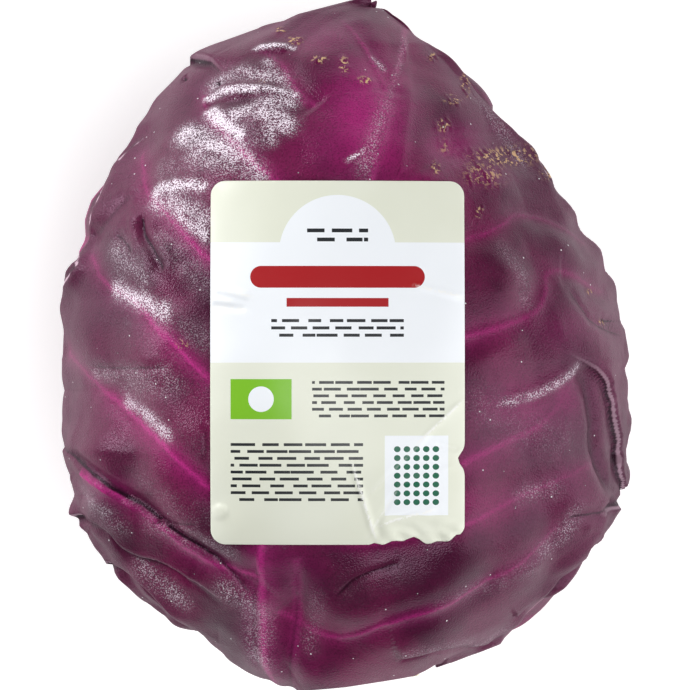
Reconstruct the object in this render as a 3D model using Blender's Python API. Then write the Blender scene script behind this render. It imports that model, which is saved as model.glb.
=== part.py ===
"""Red pointed cabbage head, lying on its side with its paper label up.

Six wrapper leaves close over a packed heart and grow from a short cut stem. Sizes are in metres.

The head's own axis is Y: the cut stem is at -Y and the tip at +Y. A place on the head is an
angle round that axis (0 is up, 90 degrees is +X), a share of the way from the stem's pole (0)
to the tip's pole (1), and a height above the heart. The leaves are laid one over the other, from
the heart out, so each one rests on those under it.
"""

import math

import bmesh
import bpy
import numpy as np
from mathutils.bvhtree import BVHTree

# The heart: an egg, blunt at the stem and narrower at the tip
HEART_RADIUS = 0.0552
HEART_HALF_LENGTH = 0.0671
HEART_TIP_REACH = 0.0135
HEART_DEPTH_SHARE = 0.965
STEM_END_POWER = 0.58
TIP_END_POWER = 1.10
LEAN_AT_SHOULDER = 0.0060
LEAN_AT_STEM = 0.0058
TIP_SWING = 0.0140
PRESSED_RADIUS = 0.0518
PRESSED_ROUND = 0.0020
HEART_COLUMNS = 42
HEART_ROWS = 20
INNER_MARGINS = 3
INNER_MARGIN_STEP = 0.0014

# The leaves: blade, ribs, and the space that each one keeps to the next
BLADE = 0.0011
MARGIN_BLADE = 0.0008
RIB_HEIGHT = 0.0040
RIB_HALF_WIDTH = 0.0070
RIB_END_HALF_WIDTH = 0.0018
VEIN_HEIGHT = 0.0006
LEAF_GAP = 0.0010
LEAF_START = 0.050
LEAF_TIP_ROW = 0.985
TIP_SHARE = 0.985
MIDRIB_TURN_POWER = 1.8
SIDE_TURN = 30.0
VEIN_BEND = 1.4
TIP_CLOSING_POWER = 10
COLUMNS = (0.035, 0.10, 0.20, 0.33, 0.46, 0.60, 0.74, 0.88, 1.0)
FRONT_COLUMNS = (0.035, 0.09, 0.17, 0.26, 0.36, 0.46, 0.56, 0.66, 0.76, 0.88, 1.0)
VEINS = (0.0, 0.045, 0.10, 0.18, 0.28, 0.38, 0.47, 0.56, 0.65, 0.75, 0.86)
ROWS_TO_NEXT_VEIN = (4, 5, 2, 2, 2, 2, 2, 2, 2, 2, 2)

# Where the row of each vein meets the leaf's side: degrees from the leaf's middle, share to the tip
NARROW_SIDE = (
    (80, 0.050), (62, 0.18), (80, 0.385), (87, 0.48), (83, 0.555), (70, 0.64),
    (71, 0.75), (76, 0.85), (74, 0.90), (64, 0.95), (62, 0.972), (62, 0.985),
)
BROAD_SIDE = (
    (78, 0.050), (72, 0.20), (96, 0.46), (97, 0.52), (95, 0.60), (90, 0.625),
    (84, 0.655), (80, 0.675), (76, 0.73), (74, 0.81), (70, 0.90), (70, 0.985),
)

# The leaves from the innermost out. The stem's spiral sets each root 135 degrees from the last.
FRONT_ROOT = -30.0
ROOT_STEP = 135.0
LEAVES = (
    dict(name="leaf_6", turn=60, breadth=0.84, reach=1.000, quilt=0.0005, ruffle=0.0002, broad=-1),
    dict(name="leaf_5", turn=60, breadth=0.84, reach=0.990, quilt=0.0005, ruffle=0.0002, broad=1),
    dict(name="leaf_4", turn=60, breadth=0.86, reach=0.980, quilt=0.0006, ruffle=0.0003, broad=-1),
    dict(name="leaf_3", turn=60, breadth=0.92, reach=0.970, quilt=0.0018, ruffle=0.0015, broad=1),
    dict(name="leaf_2", turn=60, breadth=0.84, reach=0.955, quilt=0.0018, ruffle=0.0018, broad=-1),
    dict(name="leaf_1", turn=90, breadth=1.00, reach=1.000, quilt=0.0021, ruffle=0.0030, broad=1),
)
SIDE_WAVE_DEGREES = 2.5
SIDE_WAVES = 5.3
MARGIN_WAVES = 7.5
RUFFLE_START = 0.80

# The stem's stump, and the roots of trimmed leaves left on it
STEM_RADIUS = 0.0130
STEM_RECESS = 0.0010
STEM_EDGE = 0.0010
STEM_SIDES = 32
STUB_ROOT = 0.020
STUB_THICKNESS = 0.0026
STUBS = (
    dict(angle=-95.0, half_angle=18.0, end=0.135),
    dict(angle=125.0, half_angle=20.0, end=0.110),
    dict(angle=180.0, half_angle=24.0, end=0.120),
)

# The paper label, seen from above
LABEL_WIDTH = 0.0585
LABEL_LENGTH = 0.0838
LABEL_MIDDLE = (-0.0011, 0.0057)
LABEL_CORNER = 0.0040
LABEL_PAPER = 0.0006
LABEL_GAP = 0.0008
LABEL_COLUMNS = 8
LABEL_ROWS = 10

# The flat spot that the head lies on
FLAT_SPOT_DEPTH = 0.0008
UNDERNEATH_ANGLE = 26.0
UNDERNEATH_PLACE = 0.46
UNDERNEATH_SHARE = 0.13
PRESSED_BLADE = 0.0007

# Colours
HEART_COLOUR = (0.200, 0.050, 0.120)
LEAF_COLOUR = (0.135, 0.022, 0.065)
STEM_COLOUR = (0.780, 0.740, 0.560)
PAPER_COLOUR = (0.800, 0.820, 0.710)

# The height map that the leaves are laid on
MAP_ANGLES = 240
MAP_SHARES = 160
DRAPE_REACH = 0.0065
MAP_FILL = 12


def heart_surface(angle, share):
    """Points of the heart. With s the sine that runs from -1 at the stem to 1 at the tip, the
    length is a straight share of s and a little of s squared, so the tip is the longer end. The
    radius is a power of the cosine, a low one at the stem (blunt) and a higher one at the tip.
    The shoulders lean to -X and both ends swing back, and the belly is pressed flat underneath."""
    latitude = math.pi * (share - 0.5)
    s = np.sin(latitude)
    along = HEART_HALF_LENGTH * s + HEART_TIP_REACH * s**2
    power = STEM_END_POWER + (TIP_END_POWER - STEM_END_POWER) * (s + 1) / 2
    radius = HEART_RADIUS * np.maximum(np.cos(latitude), 1e-9) ** power
    up, down = np.maximum(s, 0.0), np.maximum(-s, 0.0)
    lean = TIP_SWING * up**26 - LEAN_AT_SHOULDER * up**1.3 + LEAN_AT_STEM * down**2
    height = -smooth_least(-HEART_DEPTH_SHARE * radius * np.cos(angle), PRESSED_RADIUS)
    return np.stack([radius * np.sin(angle) + lean, along, height], axis=-1)


def smooth_least(a, b):
    """The lesser of a and b, with the change from one to the other rounded."""
    part = np.clip(0.5 + 0.5 * (b - a) / PRESSED_ROUND, 0.0, 1.0)
    return b * (1 - part) + a * part - PRESSED_ROUND * part * (1 - part)


def raised(angle, share, height):
    """Points that height above the heart, along its outward normal."""
    step = 1e-4
    around = heart_surface(angle + step, share) - heart_surface(angle - step, share)
    along = heart_surface(angle, share + step) - heart_surface(angle, share - step)
    normal = np.cross(around, along)
    normal /= np.linalg.norm(normal, axis=-1, keepdims=True)
    return heart_surface(angle, share) + height[..., None] * normal


def smooth_step(low, high, x):
    """0 below low, 1 above high, and an S curve between them."""
    part = np.clip((x - low) / (high - low), 0.0, 1.0)
    return part * part * (3.0 - 2.0 * part)


def heart_relief(angle, share):
    """Height of the heart's own outer leaves: each laps the next in a long slope and a short step,
    and their margins wind round the tip."""
    lap = (INNER_MARGINS * angle / (2 * math.pi) + 1.2 * share) % 1.0
    fade = smooth_step(0.30, 0.60, share) * (1.0 - smooth_step(0.93, 0.99, share))
    return INNER_MARGIN_STEP * lap**2 * fade


class HeightMap:
    """What lies on the heart so far, as a height on a grid of angles and shares."""

    def __init__(self):
        angles = (np.arange(MAP_ANGLES) + 0.5) * 2 * math.pi / MAP_ANGLES
        shares = (np.arange(MAP_SHARES) + 0.5) / MAP_SHARES
        self.heights = heart_relief(angles[None, :], shares[:, None])
        middle = heart_surface(np.zeros(MAP_SHARES), shares)
        girth = np.abs(heart_surface(np.full(MAP_SHARES, math.pi / 2), shares)[:, 0] - middle[:, 0])
        cell = 2 * math.pi * girth / MAP_ANGLES
        self.reach_round = np.clip(np.ceil(DRAPE_REACH / cell), 1, MAP_ANGLES // 6).astype(int)
        length = np.linalg.norm(np.diff(middle, axis=0), axis=1).mean()
        self.reach_along = int(math.ceil(DRAPE_REACH / length))

    def _window(self, grid, combine):
        """combine (a maximum or a mean) over the cells within DRAPE_REACH of each."""
        out = np.empty_like(grid)
        for row, reach in enumerate(self.reach_round):
            out[row] = combine([np.roll(grid[row], k) for k in range(-reach, reach + 1)], axis=0)
        padded = np.pad(out, ((self.reach_along, self.reach_along), (0, 0)), mode="edge")
        rows = [padded[k : k + MAP_SHARES] for k in range(2 * self.reach_along + 1)]
        return combine(rows, axis=0)

    def drape(self, angle, share):
        """Height of a smooth skin that touches what lies there and never cuts it."""
        skin = self._window(self._window(self.heights, np.max), np.mean)
        column = (angle / (2 * math.pi) * MAP_ANGLES - 0.5) % MAP_ANGLES
        row = np.clip(share * MAP_SHARES - 0.5, 0, MAP_SHARES - 1.001)
        c0, r0 = np.floor(column).astype(int), np.floor(row).astype(int)
        c1 = (c0 + 1) % MAP_ANGLES
        c0 = c0 % MAP_ANGLES
        fc, fr = column - np.floor(column), row - r0
        low = skin[r0, c0] * (1 - fc) + skin[r0, c1] * fc
        high = skin[r0 + 1, c0] * (1 - fc) + skin[r0 + 1, c1] * fc
        return low * (1 - fr) + high * fr

    def add(self, angle, share, height):
        """Lays a grid of heights on the map, filled in between the grid's points."""
        angle, share, height = (filled_in(a) for a in (angle, share, height))
        column = np.floor(angle / (2 * math.pi) * MAP_ANGLES).astype(int) % MAP_ANGLES
        row = np.clip(np.floor(share * MAP_SHARES).astype(int), 0, MAP_SHARES - 1)
        np.maximum.at(self.heights, (row, column), height)


def filled_in(grid):
    """The grid with MAP_FILL straight steps between each two of its rows and columns."""
    for axis in (0, 1):
        count = grid.shape[axis]
        places = np.linspace(0, count - 1, (count - 1) * MAP_FILL + 1)
        low = np.minimum(places.astype(int), count - 2)
        part = places - low
        part = part[:, None] if axis == 0 else part[None, :]
        grid = np.take(grid, low, axis) * (1 - part) + np.take(grid, low + 1, axis) * part
    return grid


def leaf_side(leaf, root, sign, up):
    """Angle and share at the leaf's side, on the left (-1) or the right (1). The side waves."""
    side = BROAD_SIDE if leaf["broad"] == sign else NARROW_SIDE
    stations = VEINS + (1.0,)
    degrees = np.interp(up, stations, [place[0] for place in side]) * leaf["breadth"]
    share = np.interp(up, stations, [place[1] for place in side])
    phase = SIDE_WAVES * up + root / 100 + sign / 5
    wave = SIDE_WAVE_DEGREES * np.sin(2 * math.pi * phase) * np.sin(math.pi * up)
    angle = root + SIDE_TURN + sign * (degrees + wave)
    return angle, LEAF_START + (share - LEAF_START) * leaf["reach"]


def leaf_chart(leaf, root, across, up):
    """Angle and share of the leaf's points. up runs along the midrib from root to tip, and across
    from one side (-1) to the other (1). Each row leaves the midrib as a side vein does, and bends
    up to its place on the leaf's side."""
    midrib_angle = root + leaf["turn"] * up**MIDRIB_TURN_POWER
    midrib_share = LEAF_START + up * (TIP_SHARE * leaf["reach"] - LEAF_START)
    left_angle, left_share = leaf_side(leaf, root, -1, up)
    right_angle, right_share = leaf_side(leaf, root, 1, up)
    side_angle = np.where(across < 0, left_angle, right_angle)
    side_share = np.where(across < 0, left_share, right_share)
    out = np.abs(across)
    angle = midrib_angle + out * (1.0 - up**TIP_CLOSING_POWER) * (side_angle - midrib_angle)
    share = midrib_share + (1.0 - (1.0 - out) ** VEIN_BEND) * (side_share - midrib_share)
    return np.radians(angle), share


def between_veins(up):
    """0 on each side vein and 1 midway between two."""
    place = np.interp(up, VEINS + (1.0,), np.arange(len(VEINS) + 1.0))
    return np.sin(math.pi * (place % 1.0))


def underneath(angle, share):
    """1 where the head lies on the table, and 0 away from there."""
    turn = np.degrees(np.arccos(np.clip(-np.cos(angle), -1, 1)))
    along = (share - UNDERNEATH_PLACE) / UNDERNEATH_SHARE
    return np.exp(-((turn / UNDERNEATH_ANGLE) ** 4) - along**4)


def leaf_heights(leaf, pile, angle, share, across, up):
    """Heights of the leaf's inner and outer faces. The blade swells between the veins, its free
    sides wave, and its ribs stand out on the outer face: the midrib thick at the root, and the
    side veins low, in the dips."""
    out = np.abs(across)
    loose = 1.0 - underneath(angle, share)
    panel = smooth_step(0.03, 0.25, out) * (1 - smooth_step(0.85, 1, out))
    swell = loose * leaf["quilt"] * between_veins(up) * panel
    wave = 0.5 + 0.5 * np.sin(2 * math.pi * (MARGIN_WAVES * up + 0.3 * np.sign(across)))
    free = smooth_step(RUFFLE_START, 1.0, out) * smooth_step(0.0, 0.05, up)
    ruffle = loose * leaf["ruffle"] * wave * free
    inner = pile.drape(angle, share) + LEAF_GAP + swell + ruffle
    middle = angle[:, angle.shape[1] // 2][:, None]
    girth = HEART_RADIUS * np.cos(math.pi * (share - 0.5))
    from_rib = np.abs(angle - middle) * girth
    half_width = RIB_END_HALF_WIDTH + (RIB_HALF_WIDTH - RIB_END_HALF_WIDTH) * (1 - up) ** 2
    rib = RIB_HEIGHT * (1 - up) ** 1.5 * np.exp(-((from_rib / half_width) ** 2))
    vein = loose * VEIN_HEIGHT * (1 - between_veins(up)) * (1 - out)
    blade = BLADE + (MARGIN_BLADE - BLADE) * out**2
    return inner, inner + blade + rib + vein


def grid_solid(name, inner, outer, material):
    """A closed solid between two grids of points. Both faces are split along the same diagonals,
    so that a thin blade's faces never cross."""
    rows, columns = inner.shape[:2]
    index = np.arange(rows * columns).reshape(rows, columns)
    a, b = index[:-1, :-1].ravel(), index[:-1, 1:].ravel()
    c, d = index[1:, 1:].ravel(), index[1:, :-1].ravel()
    top = np.concatenate([np.stack([a, b, c], 1), np.stack([a, c, d], 1)])
    under = top[:, ::-1] + rows * columns
    rim = np.concatenate([index[0, :-1], index[:-1, -1], index[-1, :0:-1], index[:0:-1, 0]])
    following = np.roll(rim, -1)
    below = rows * columns
    edge = np.concatenate(
        [
            np.stack([rim, rim + below, following + below], 1),
            np.stack([rim, following + below, following], 1),
        ]
    )
    points = np.concatenate([outer.reshape(-1, 3), inner.reshape(-1, 3)])
    return add_mesh(name, points, np.concatenate([top, under, edge]), material)


def add_mesh(name, points, faces, material):
    """A new object with that mesh, shaded smooth apart from its sharp edges."""
    mesh = bpy.data.meshes.new(name)
    mesh.from_pydata(points.tolist(), [], faces.tolist())
    mesh.validate()
    mesh.shade_smooth()
    mesh.set_sharp_from_angle(angle=math.radians(50))
    mesh.materials.append(material)
    obj = bpy.data.objects.new(name, mesh)
    bpy.context.collection.objects.link(obj)
    return obj


def principled(name, colour, roughness):
    """A plain material with that colour and roughness."""
    material = bpy.data.materials.new(name)
    material.use_nodes = True
    shader = material.node_tree.nodes["Principled BSDF"]
    shader.inputs["Base Color"].default_value = (*colour, 1.0)
    shader.inputs["Roughness"].default_value = roughness
    material.diffuse_color = (*colour, 1.0)
    return material


def make_heart(material):
    """The packed inner leaves, one dense body with a rounded pole at each end."""
    angles = np.arange(HEART_COLUMNS) * 2 * math.pi / HEART_COLUMNS
    shares = np.arange(1, HEART_ROWS) / HEART_ROWS
    angle, share = np.meshgrid(angles, shares)
    rings = raised(angle, share, heart_relief(angle, share)).reshape(-1, 3)
    poles = heart_surface(np.zeros(2), np.array([0.0, 1.0]))
    faces = []
    for row in range(HEART_ROWS - 2):
        for column in range(HEART_COLUMNS):
            beside = (column + 1) % HEART_COLUMNS
            a, b = row * HEART_COLUMNS + column, row * HEART_COLUMNS + beside
            faces += [(a, b, b + HEART_COLUMNS), (a, b + HEART_COLUMNS, a + HEART_COLUMNS)]
    last = (HEART_ROWS - 2) * HEART_COLUMNS
    stem_pole, tip_pole = len(rings), len(rings) + 1
    for column in range(HEART_COLUMNS):
        beside = (column + 1) % HEART_COLUMNS
        faces.append((beside, column, stem_pole))
        faces.append((last + column, last + beside, tip_pole))
    return add_mesh("heart", np.concatenate([rings, poles]), np.array(faces), material)


def leaf_rows():
    """The rows of a leaf's grid: one on each vein, and more where the veins' ends are far apart.
    The last is just short of the leaf's tip."""
    rows = []
    for low, high, steps in zip(VEINS, VEINS[1:] + (LEAF_TIP_ROW,), ROWS_TO_NEXT_VEIN):
        rows += list(low + (high - low) * np.arange(steps) / steps)
    return np.array(rows + [LEAF_TIP_ROW])


def make_leaf(number, leaf, pile, material):
    """One wrapper leaf, laid on the pile."""
    root = FRONT_ROOT + ROOT_STEP * (len(LEAVES) - 1 - number)
    half = FRONT_COLUMNS if leaf["name"] == "leaf_1" else COLUMNS
    columns = np.array([-c for c in reversed(half)] + [0.0] + list(half))
    across, up = np.meshgrid(columns, leaf_rows())
    angle, share = leaf_chart(leaf, root, across, up)
    inner, outer = leaf_heights(leaf, pile, angle, share, across, up)
    pile.add(angle, share, outer)
    return grid_solid(
        leaf["name"], raised(angle, share, inner), raised(angle, share, outer), material
    )


def make_stub(stub, pile, material):
    """The torn root of a trimmed leaf: a short tongue from the stem's side along the head."""
    across, up = np.meshgrid(np.linspace(-1, 1, 7), np.linspace(0, 1, 6))
    ragged = 1.0 - 0.22 * np.abs(across) ** 2 + 0.07 * np.cos(6 * across + stub["angle"])
    share = STUB_ROOT + (stub["end"] - STUB_ROOT) * up * ragged
    angle = np.radians(stub["angle"] + across * stub["half_angle"] * (1 - 0.35 * up))
    inner = pile.drape(angle, share) + LEAF_GAP
    outer = inner + STUB_THICKNESS * (1 - 0.5 * up) * (1 - 0.4 * np.abs(across) ** 3)
    return grid_solid("stub", raised(angle, share, inner), raised(angle, share, outer), material)


def make_stem(pile, material):
    """The stump, cut square, joined with the roots of the leaves that were trimmed from it."""
    foot = heart_surface(np.zeros(1), np.zeros(1))[0]
    ring = np.linspace(0, 2 * math.pi, 24)
    cover = pile.drape(ring, np.full(24, LEAF_START)).max()
    start, end = foot[1] - LEAF_GAP, foot[1] - cover + STEM_RECESS
    mesh = bmesh.new()
    sizes = dict(radius1=STEM_RADIUS, radius2=STEM_RADIUS, depth=start - end)
    bmesh.ops.create_cone(mesh, cap_ends=True, segments=STEM_SIDES, **sizes)
    rim = [e for e in mesh.edges if all(v.co.z > 0 for v in e.verts)]
    bmesh.ops.bevel(mesh, geom=rim, offset=STEM_EDGE, segments=2, affect="EDGES")
    data = bpy.data.meshes.new("stem")
    mesh.to_mesh(data)
    mesh.free()
    data.materials.append(material)
    stem = bpy.data.objects.new("stem", data)
    bpy.context.collection.objects.link(stem)
    stem.location = (foot[0], (start + end) / 2, foot[2])
    stem.rotation_euler = (math.radians(90), 0, 0)
    stubs = bpy.data.collections.new("stubs")
    bpy.context.scene.collection.children.link(stubs)
    for stub in STUBS:
        piece = make_stub(stub, pile, material)
        bpy.context.collection.objects.unlink(piece)
        stubs.objects.link(piece)
    join_collection(stem, stubs)
    return stem


def join_collection(body, collection):
    """Unites the collection's objects with the body, and removes them."""
    union = body.modifiers.new("union", "BOOLEAN")
    union.operation = "UNION"
    union.operand_type = "COLLECTION"
    union.solver = "EXACT"
    union.collection = collection
    bpy.context.view_layer.update()
    with bpy.context.temp_override(object=body, active_object=body, selected_objects=[body]):
        bpy.ops.object.modifier_apply(modifier=union.name)
    for obj in list(collection.objects):
        bpy.data.objects.remove(obj)
    bpy.data.collections.remove(collection)


def label_lines(length, steps):
    """Places of a grid's lines along one way of the label: even steps, and closer at the corners."""
    straight = np.linspace(LABEL_CORNER - length / 2, length / 2 - LABEL_CORNER, steps + 1)
    corner = np.array([LABEL_CORNER / 2, LABEL_CORNER]) - LABEL_CORNER
    return np.concatenate([-length / 2 - corner[::-1], straight, length / 2 + corner])


def label_grid():
    """The label's points seen from above. Each corner's square of points is drawn in to a quarter
    disc: x turns into x times the root of 1 less half of y squared, and y likewise."""
    across, along = label_lines(LABEL_WIDTH, LABEL_COLUMNS), label_lines(LABEL_LENGTH, LABEL_ROWS)
    x, y = np.meshgrid(across, along)
    u = np.maximum(np.abs(x) - (LABEL_WIDTH / 2 - LABEL_CORNER), 0) / LABEL_CORNER
    v = np.maximum(np.abs(y) - (LABEL_LENGTH / 2 - LABEL_CORNER), 0) / LABEL_CORNER
    x = x + np.sign(x) * LABEL_CORNER * (u * np.sqrt(1 - v * v / 2) - u)
    y = y + np.sign(y) * LABEL_CORNER * (v * np.sqrt(1 - u * u / 2) - v)
    return x + LABEL_MIDDLE[0], y + LABEL_MIDDLE[1]


def make_label(under, material):
    """The label: paper pressed on the front leaf, stiff enough to bridge the dips between its
    veins."""
    x, y = label_grid()
    tree = surface_tree(under)
    top = np.empty_like(x)
    for place in np.ndindex(x.shape):
        top[place] = tree.ray_cast((x[place], y[place], 1.0), (0, 0, -1))[0].z
    lower = np.stack([x, y, paper_over(x, y, top) + LABEL_GAP], -1)
    return grid_solid("label", lower, lower + np.array([0, 0, LABEL_PAPER]), material)


def surface_tree(obj):
    """The object's faces, ready to be met by rays."""
    mesh = bmesh.new()
    mesh.from_mesh(obj.data)
    tree = BVHTree.FromBMesh(mesh)
    mesh.free()
    return tree


def paper_over(x, y, top):
    """Heights of the paper: a smooth polynomial of the place, bent across the head and along it,
    fitted to the leaf's heights and raised on to the highest of them."""
    u, v = (x - LABEL_MIDDLE[0]) / LABEL_LENGTH, (y - LABEL_MIDDLE[1]) / LABEL_LENGTH
    terms = [np.ones_like(u), u, v, u * v, u**2, v**2, u**2 * v, v**3, u**3, u**4]
    basis = np.stack([term.ravel() for term in terms], 1)
    fitted = (basis @ np.linalg.lstsq(basis, top.ravel(), rcond=None)[0]).reshape(top.shape)
    return fitted + (top - fitted).max()


def lay_down(objects):
    """Presses the flat spot into the leaves under the head, and puts the floor at 0 with the
    origin under the middle of the head."""
    corners = np.array([o.matrix_world @ v.co for o in objects for v in o.data.vertices])
    floor = corners[:, 2].min() + FLAT_SPOT_DEPTH
    middle = (corners.min(0) + corners.max(0)) / 2
    for obj in objects:
        if obj.name.startswith("leaf"):
            half = len(obj.data.vertices) // 2
            for number, vertex in enumerate(obj.data.vertices):
                lowest = floor if number < half else floor + PRESSED_BLADE
                vertex.co.z = max(vertex.co.z, lowest)
        obj.location.x -= middle[0]
        obj.location.y -= middle[1]
        obj.location.z -= floor


def main():
    for obj in list(bpy.data.objects):
        bpy.data.objects.remove(obj)
    pile = HeightMap()
    objects = [make_heart(principled("heart", HEART_COLOUR, 0.40))]
    for number, leaf in enumerate(LEAVES):
        objects.append(make_leaf(number, leaf, pile, principled(leaf["name"], LEAF_COLOUR, 0.35)))
    front_leaf = objects[-1]
    objects.append(make_stem(pile, principled("stem", STEM_COLOUR, 0.60)))
    objects.append(make_label(front_leaf, principled("label", PAPER_COLOUR, 0.45)))
    bpy.context.view_layer.update()
    lay_down(objects)


main()
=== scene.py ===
"""Red pointed cabbage head with its paper label: finished surfaces, floor, light and camera."""
import math

import bpy
import numpy as np
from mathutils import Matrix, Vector


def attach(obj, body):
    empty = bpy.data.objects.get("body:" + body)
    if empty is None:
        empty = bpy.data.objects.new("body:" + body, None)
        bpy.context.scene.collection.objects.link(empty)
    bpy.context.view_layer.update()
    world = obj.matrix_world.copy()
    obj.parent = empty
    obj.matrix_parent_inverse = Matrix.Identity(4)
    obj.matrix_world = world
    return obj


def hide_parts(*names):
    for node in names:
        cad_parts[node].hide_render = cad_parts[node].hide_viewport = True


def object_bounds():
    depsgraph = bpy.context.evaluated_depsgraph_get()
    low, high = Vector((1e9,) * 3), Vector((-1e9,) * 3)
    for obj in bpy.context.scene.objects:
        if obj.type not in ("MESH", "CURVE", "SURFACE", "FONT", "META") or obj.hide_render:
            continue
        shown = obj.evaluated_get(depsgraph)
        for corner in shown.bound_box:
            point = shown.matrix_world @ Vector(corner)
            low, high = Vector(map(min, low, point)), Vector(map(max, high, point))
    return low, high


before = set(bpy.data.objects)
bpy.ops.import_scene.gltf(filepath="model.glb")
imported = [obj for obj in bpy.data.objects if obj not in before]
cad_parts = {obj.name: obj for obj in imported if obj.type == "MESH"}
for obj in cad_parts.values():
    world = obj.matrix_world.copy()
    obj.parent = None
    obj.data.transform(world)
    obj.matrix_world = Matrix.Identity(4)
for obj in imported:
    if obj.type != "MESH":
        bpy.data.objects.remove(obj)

cad_low, cad_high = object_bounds()

# The heart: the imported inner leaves, pale purple and crisp, one dense body under the wrappers.
# Its form is the egg that every leaf is laid on, blunt at the stem and narrower at the tip.
HEART_RADIUS = 0.0552
HEART_HALF_LENGTH = 0.0671
HEART_TIP_REACH = 0.0135
HEART_DEPTH_SHARE = 0.965
STEM_END_POWER = 0.58
TIP_END_POWER = 1.10
LEAN_AT_SHOULDER = 0.0060
LEAN_AT_STEM = 0.0058
TIP_SWING = 0.0140
PRESSED_RADIUS = 0.0518
PRESSED_ROUND = 0.0020
INNER_MARGINS = 3
INNER_MARGIN_STEP = 0.0014


def cad_points(node):
    """The corners of a CAD node, as an array."""
    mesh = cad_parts[node].data
    points = np.zeros(len(mesh.vertices) * 3)
    mesh.vertices.foreach_get("co", points)
    return points.reshape(-1, 3)


def smooth_step(low, high, x):
    """0 below low, 1 above high, and an S curve between them."""
    part = np.clip((x - low) / (high - low), 0.0, 1.0)
    return part * part * (3.0 - 2.0 * part)


def egg(angle, share):
    """Points of the heart's egg. With s the sine that runs from -1 at the stem to 1 at the tip,
    the length is a straight share of s and a little of s squared, and the radius is a power of
    the cosine, low at the stem and higher at the tip. The shoulders lean to -X, both ends swing
    back, and the lesser of the depth and a fixed one, with a rounded change, flattens the belly."""
    latitude = math.pi * (share - 0.5)
    s = np.sin(latitude)
    along = HEART_HALF_LENGTH * s + HEART_TIP_REACH * s**2
    power = STEM_END_POWER + (TIP_END_POWER - STEM_END_POWER) * (s + 1) / 2
    radius = HEART_RADIUS * np.maximum(np.cos(latitude), 1e-9) ** power
    up, down = np.maximum(s, 0.0), np.maximum(-s, 0.0)
    lean = TIP_SWING * up**26 - LEAN_AT_SHOULDER * up**1.3 + LEAN_AT_STEM * down**2
    depth = -HEART_DEPTH_SHARE * radius * np.cos(angle)
    part = np.clip(0.5 + 0.5 * (PRESSED_RADIUS - depth) / PRESSED_ROUND, 0.0, 1.0)
    pressed = PRESSED_RADIUS * (1 - part) + depth * part - PRESSED_ROUND * part * (1 - part)
    return np.stack([radius * np.sin(angle) + lean, along, -pressed], axis=-1)


# The photograph looks straight down on the head. PIXEL is the size of one of its pixels at the
# head's widest, and PHOTO_MIDDLE and PHOTO_FOOT are the pixels of the frame's X=0 and the stem end.
PIXEL = 0.0002355
PHOTO_MIDDLE = 344.0
PHOTO_FOOT = 689.0
# The head isn't quite an egg. Where each of its sides turns, as a row of pixels, and how many
# pixels that side lies outside the egg there
LEFT_FIT = (
    (0, -65), (15, -35), (30, -40), (60, -8), (135, -6), (165, 10), (200, 20), (220, 18), (240, 10),
    (270, 15), (300, 4), (360, 0), (390, -12), (420, -6), (450, 8), (495, -2), (525, 10), (555, 0),
    (660, 0), (685, -15),
)
RIGHT_FIT = (
    (0, -25), (15, -25), (45, 12), (105, 8), (135, -8), (180, 0), (210, -4), (270, 4), (300, -2),
    (360, 7), (390, 0), (450, -2), (500, 9), (585, 10), (615, 0), (660, -4), (685, -15),
)

heart_corners = cad_points("heart")
stem_pole = heart_corners[np.argmin(heart_corners[:, 1])]
EGG_PLACE = stem_pole - egg(np.zeros(1), np.zeros(1))[0]


def raised(angle, share, height):
    """Points that height above the egg, along its outward normal, in the head's place."""
    step = 1e-4
    around = egg(angle + step, share) - egg(angle - step, share)
    along = egg(angle, share + step) - egg(angle, share - step)
    normal = np.cross(around, along)
    normal /= np.linalg.norm(normal, axis=-1, keepdims=True)
    points = egg(angle, share) + height[..., None] * normal + EGG_PLACE
    row = PHOTO_FOOT - (points[..., 1] - cad_low[1]) / PIXEL
    left, right = (np.interp(row, *np.array(fit, float).T) for fit in (LEFT_FIT, RIGHT_FIT))
    side = np.sin(angle)
    out = np.where(side < 0, -left, right)
    points[..., 0] += out * PIXEL * side**2
    return points


def heart_relief(angle, share):
    """Height of the heart's outer leaves: each laps the next in a long slope and a short step."""
    lap = (INNER_MARGINS * angle / (2 * math.pi) + 1.2 * share) % 1.0
    fade = smooth_step(0.30, 0.60, share) * (1.0 - smooth_step(0.93, 0.99, share))
    return INNER_MARGIN_STEP * lap**2 * fade


# The base seen from above: how many pixels the head ends short of its lowest point, for a pixel x
BASE_OUTLINE = ((200, 60), (225, 30), (260, 10), (290, 0), (300, 0), (345, 4), (420, 15), (500, 45))
BASE_CLEARANCE = 0.0003


def off_the_base(points, deeper):
    """The points, none of them past the base's outline less that much more in metres."""
    pixels, short = np.array(BASE_OUTLINE, float).T
    limit = np.interp(points[..., 0] / PIXEL + PHOTO_MIDDLE, pixels, short) * PIXEL
    points[..., 1] = np.maximum(points[..., 1], cad_low[1] + BASE_CLEARANCE + deeper + limit)
    return points


def finish_piece(name, points, faces, material, marks=None, uv=None, edges=None):
    """A smooth-shaded mesh of those points and faces, with its marks and its edges as colour
    attributes and its places as a UV map, riding on the head and standing for its CAD node."""
    mesh = bpy.data.meshes.new(name)
    mesh.from_pydata(points.tolist(), [], faces.tolist())
    mesh.shade_smooth()
    mesh.materials.append(material)
    for title, values in (("marks", marks), ("edges", edges)):
        if values is not None:
            layer = mesh.color_attributes.new(title, "FLOAT_COLOR", "POINT")
            layer.data.foreach_set("color", values.astype(np.float32).ravel())
    if uv is not None:
        corner = np.zeros(len(mesh.loops), np.int32)
        mesh.loops.foreach_get("vertex_index", corner)
        mesh.uv_layers.new(name="places").data.foreach_set("uv", uv[corner].astype(np.float32).ravel())
    piece = bpy.data.objects.new(f"{name}_surface", mesh)
    bpy.context.collection.objects.link(piece)
    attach(piece, "root")
    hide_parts(name)
    return piece


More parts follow.
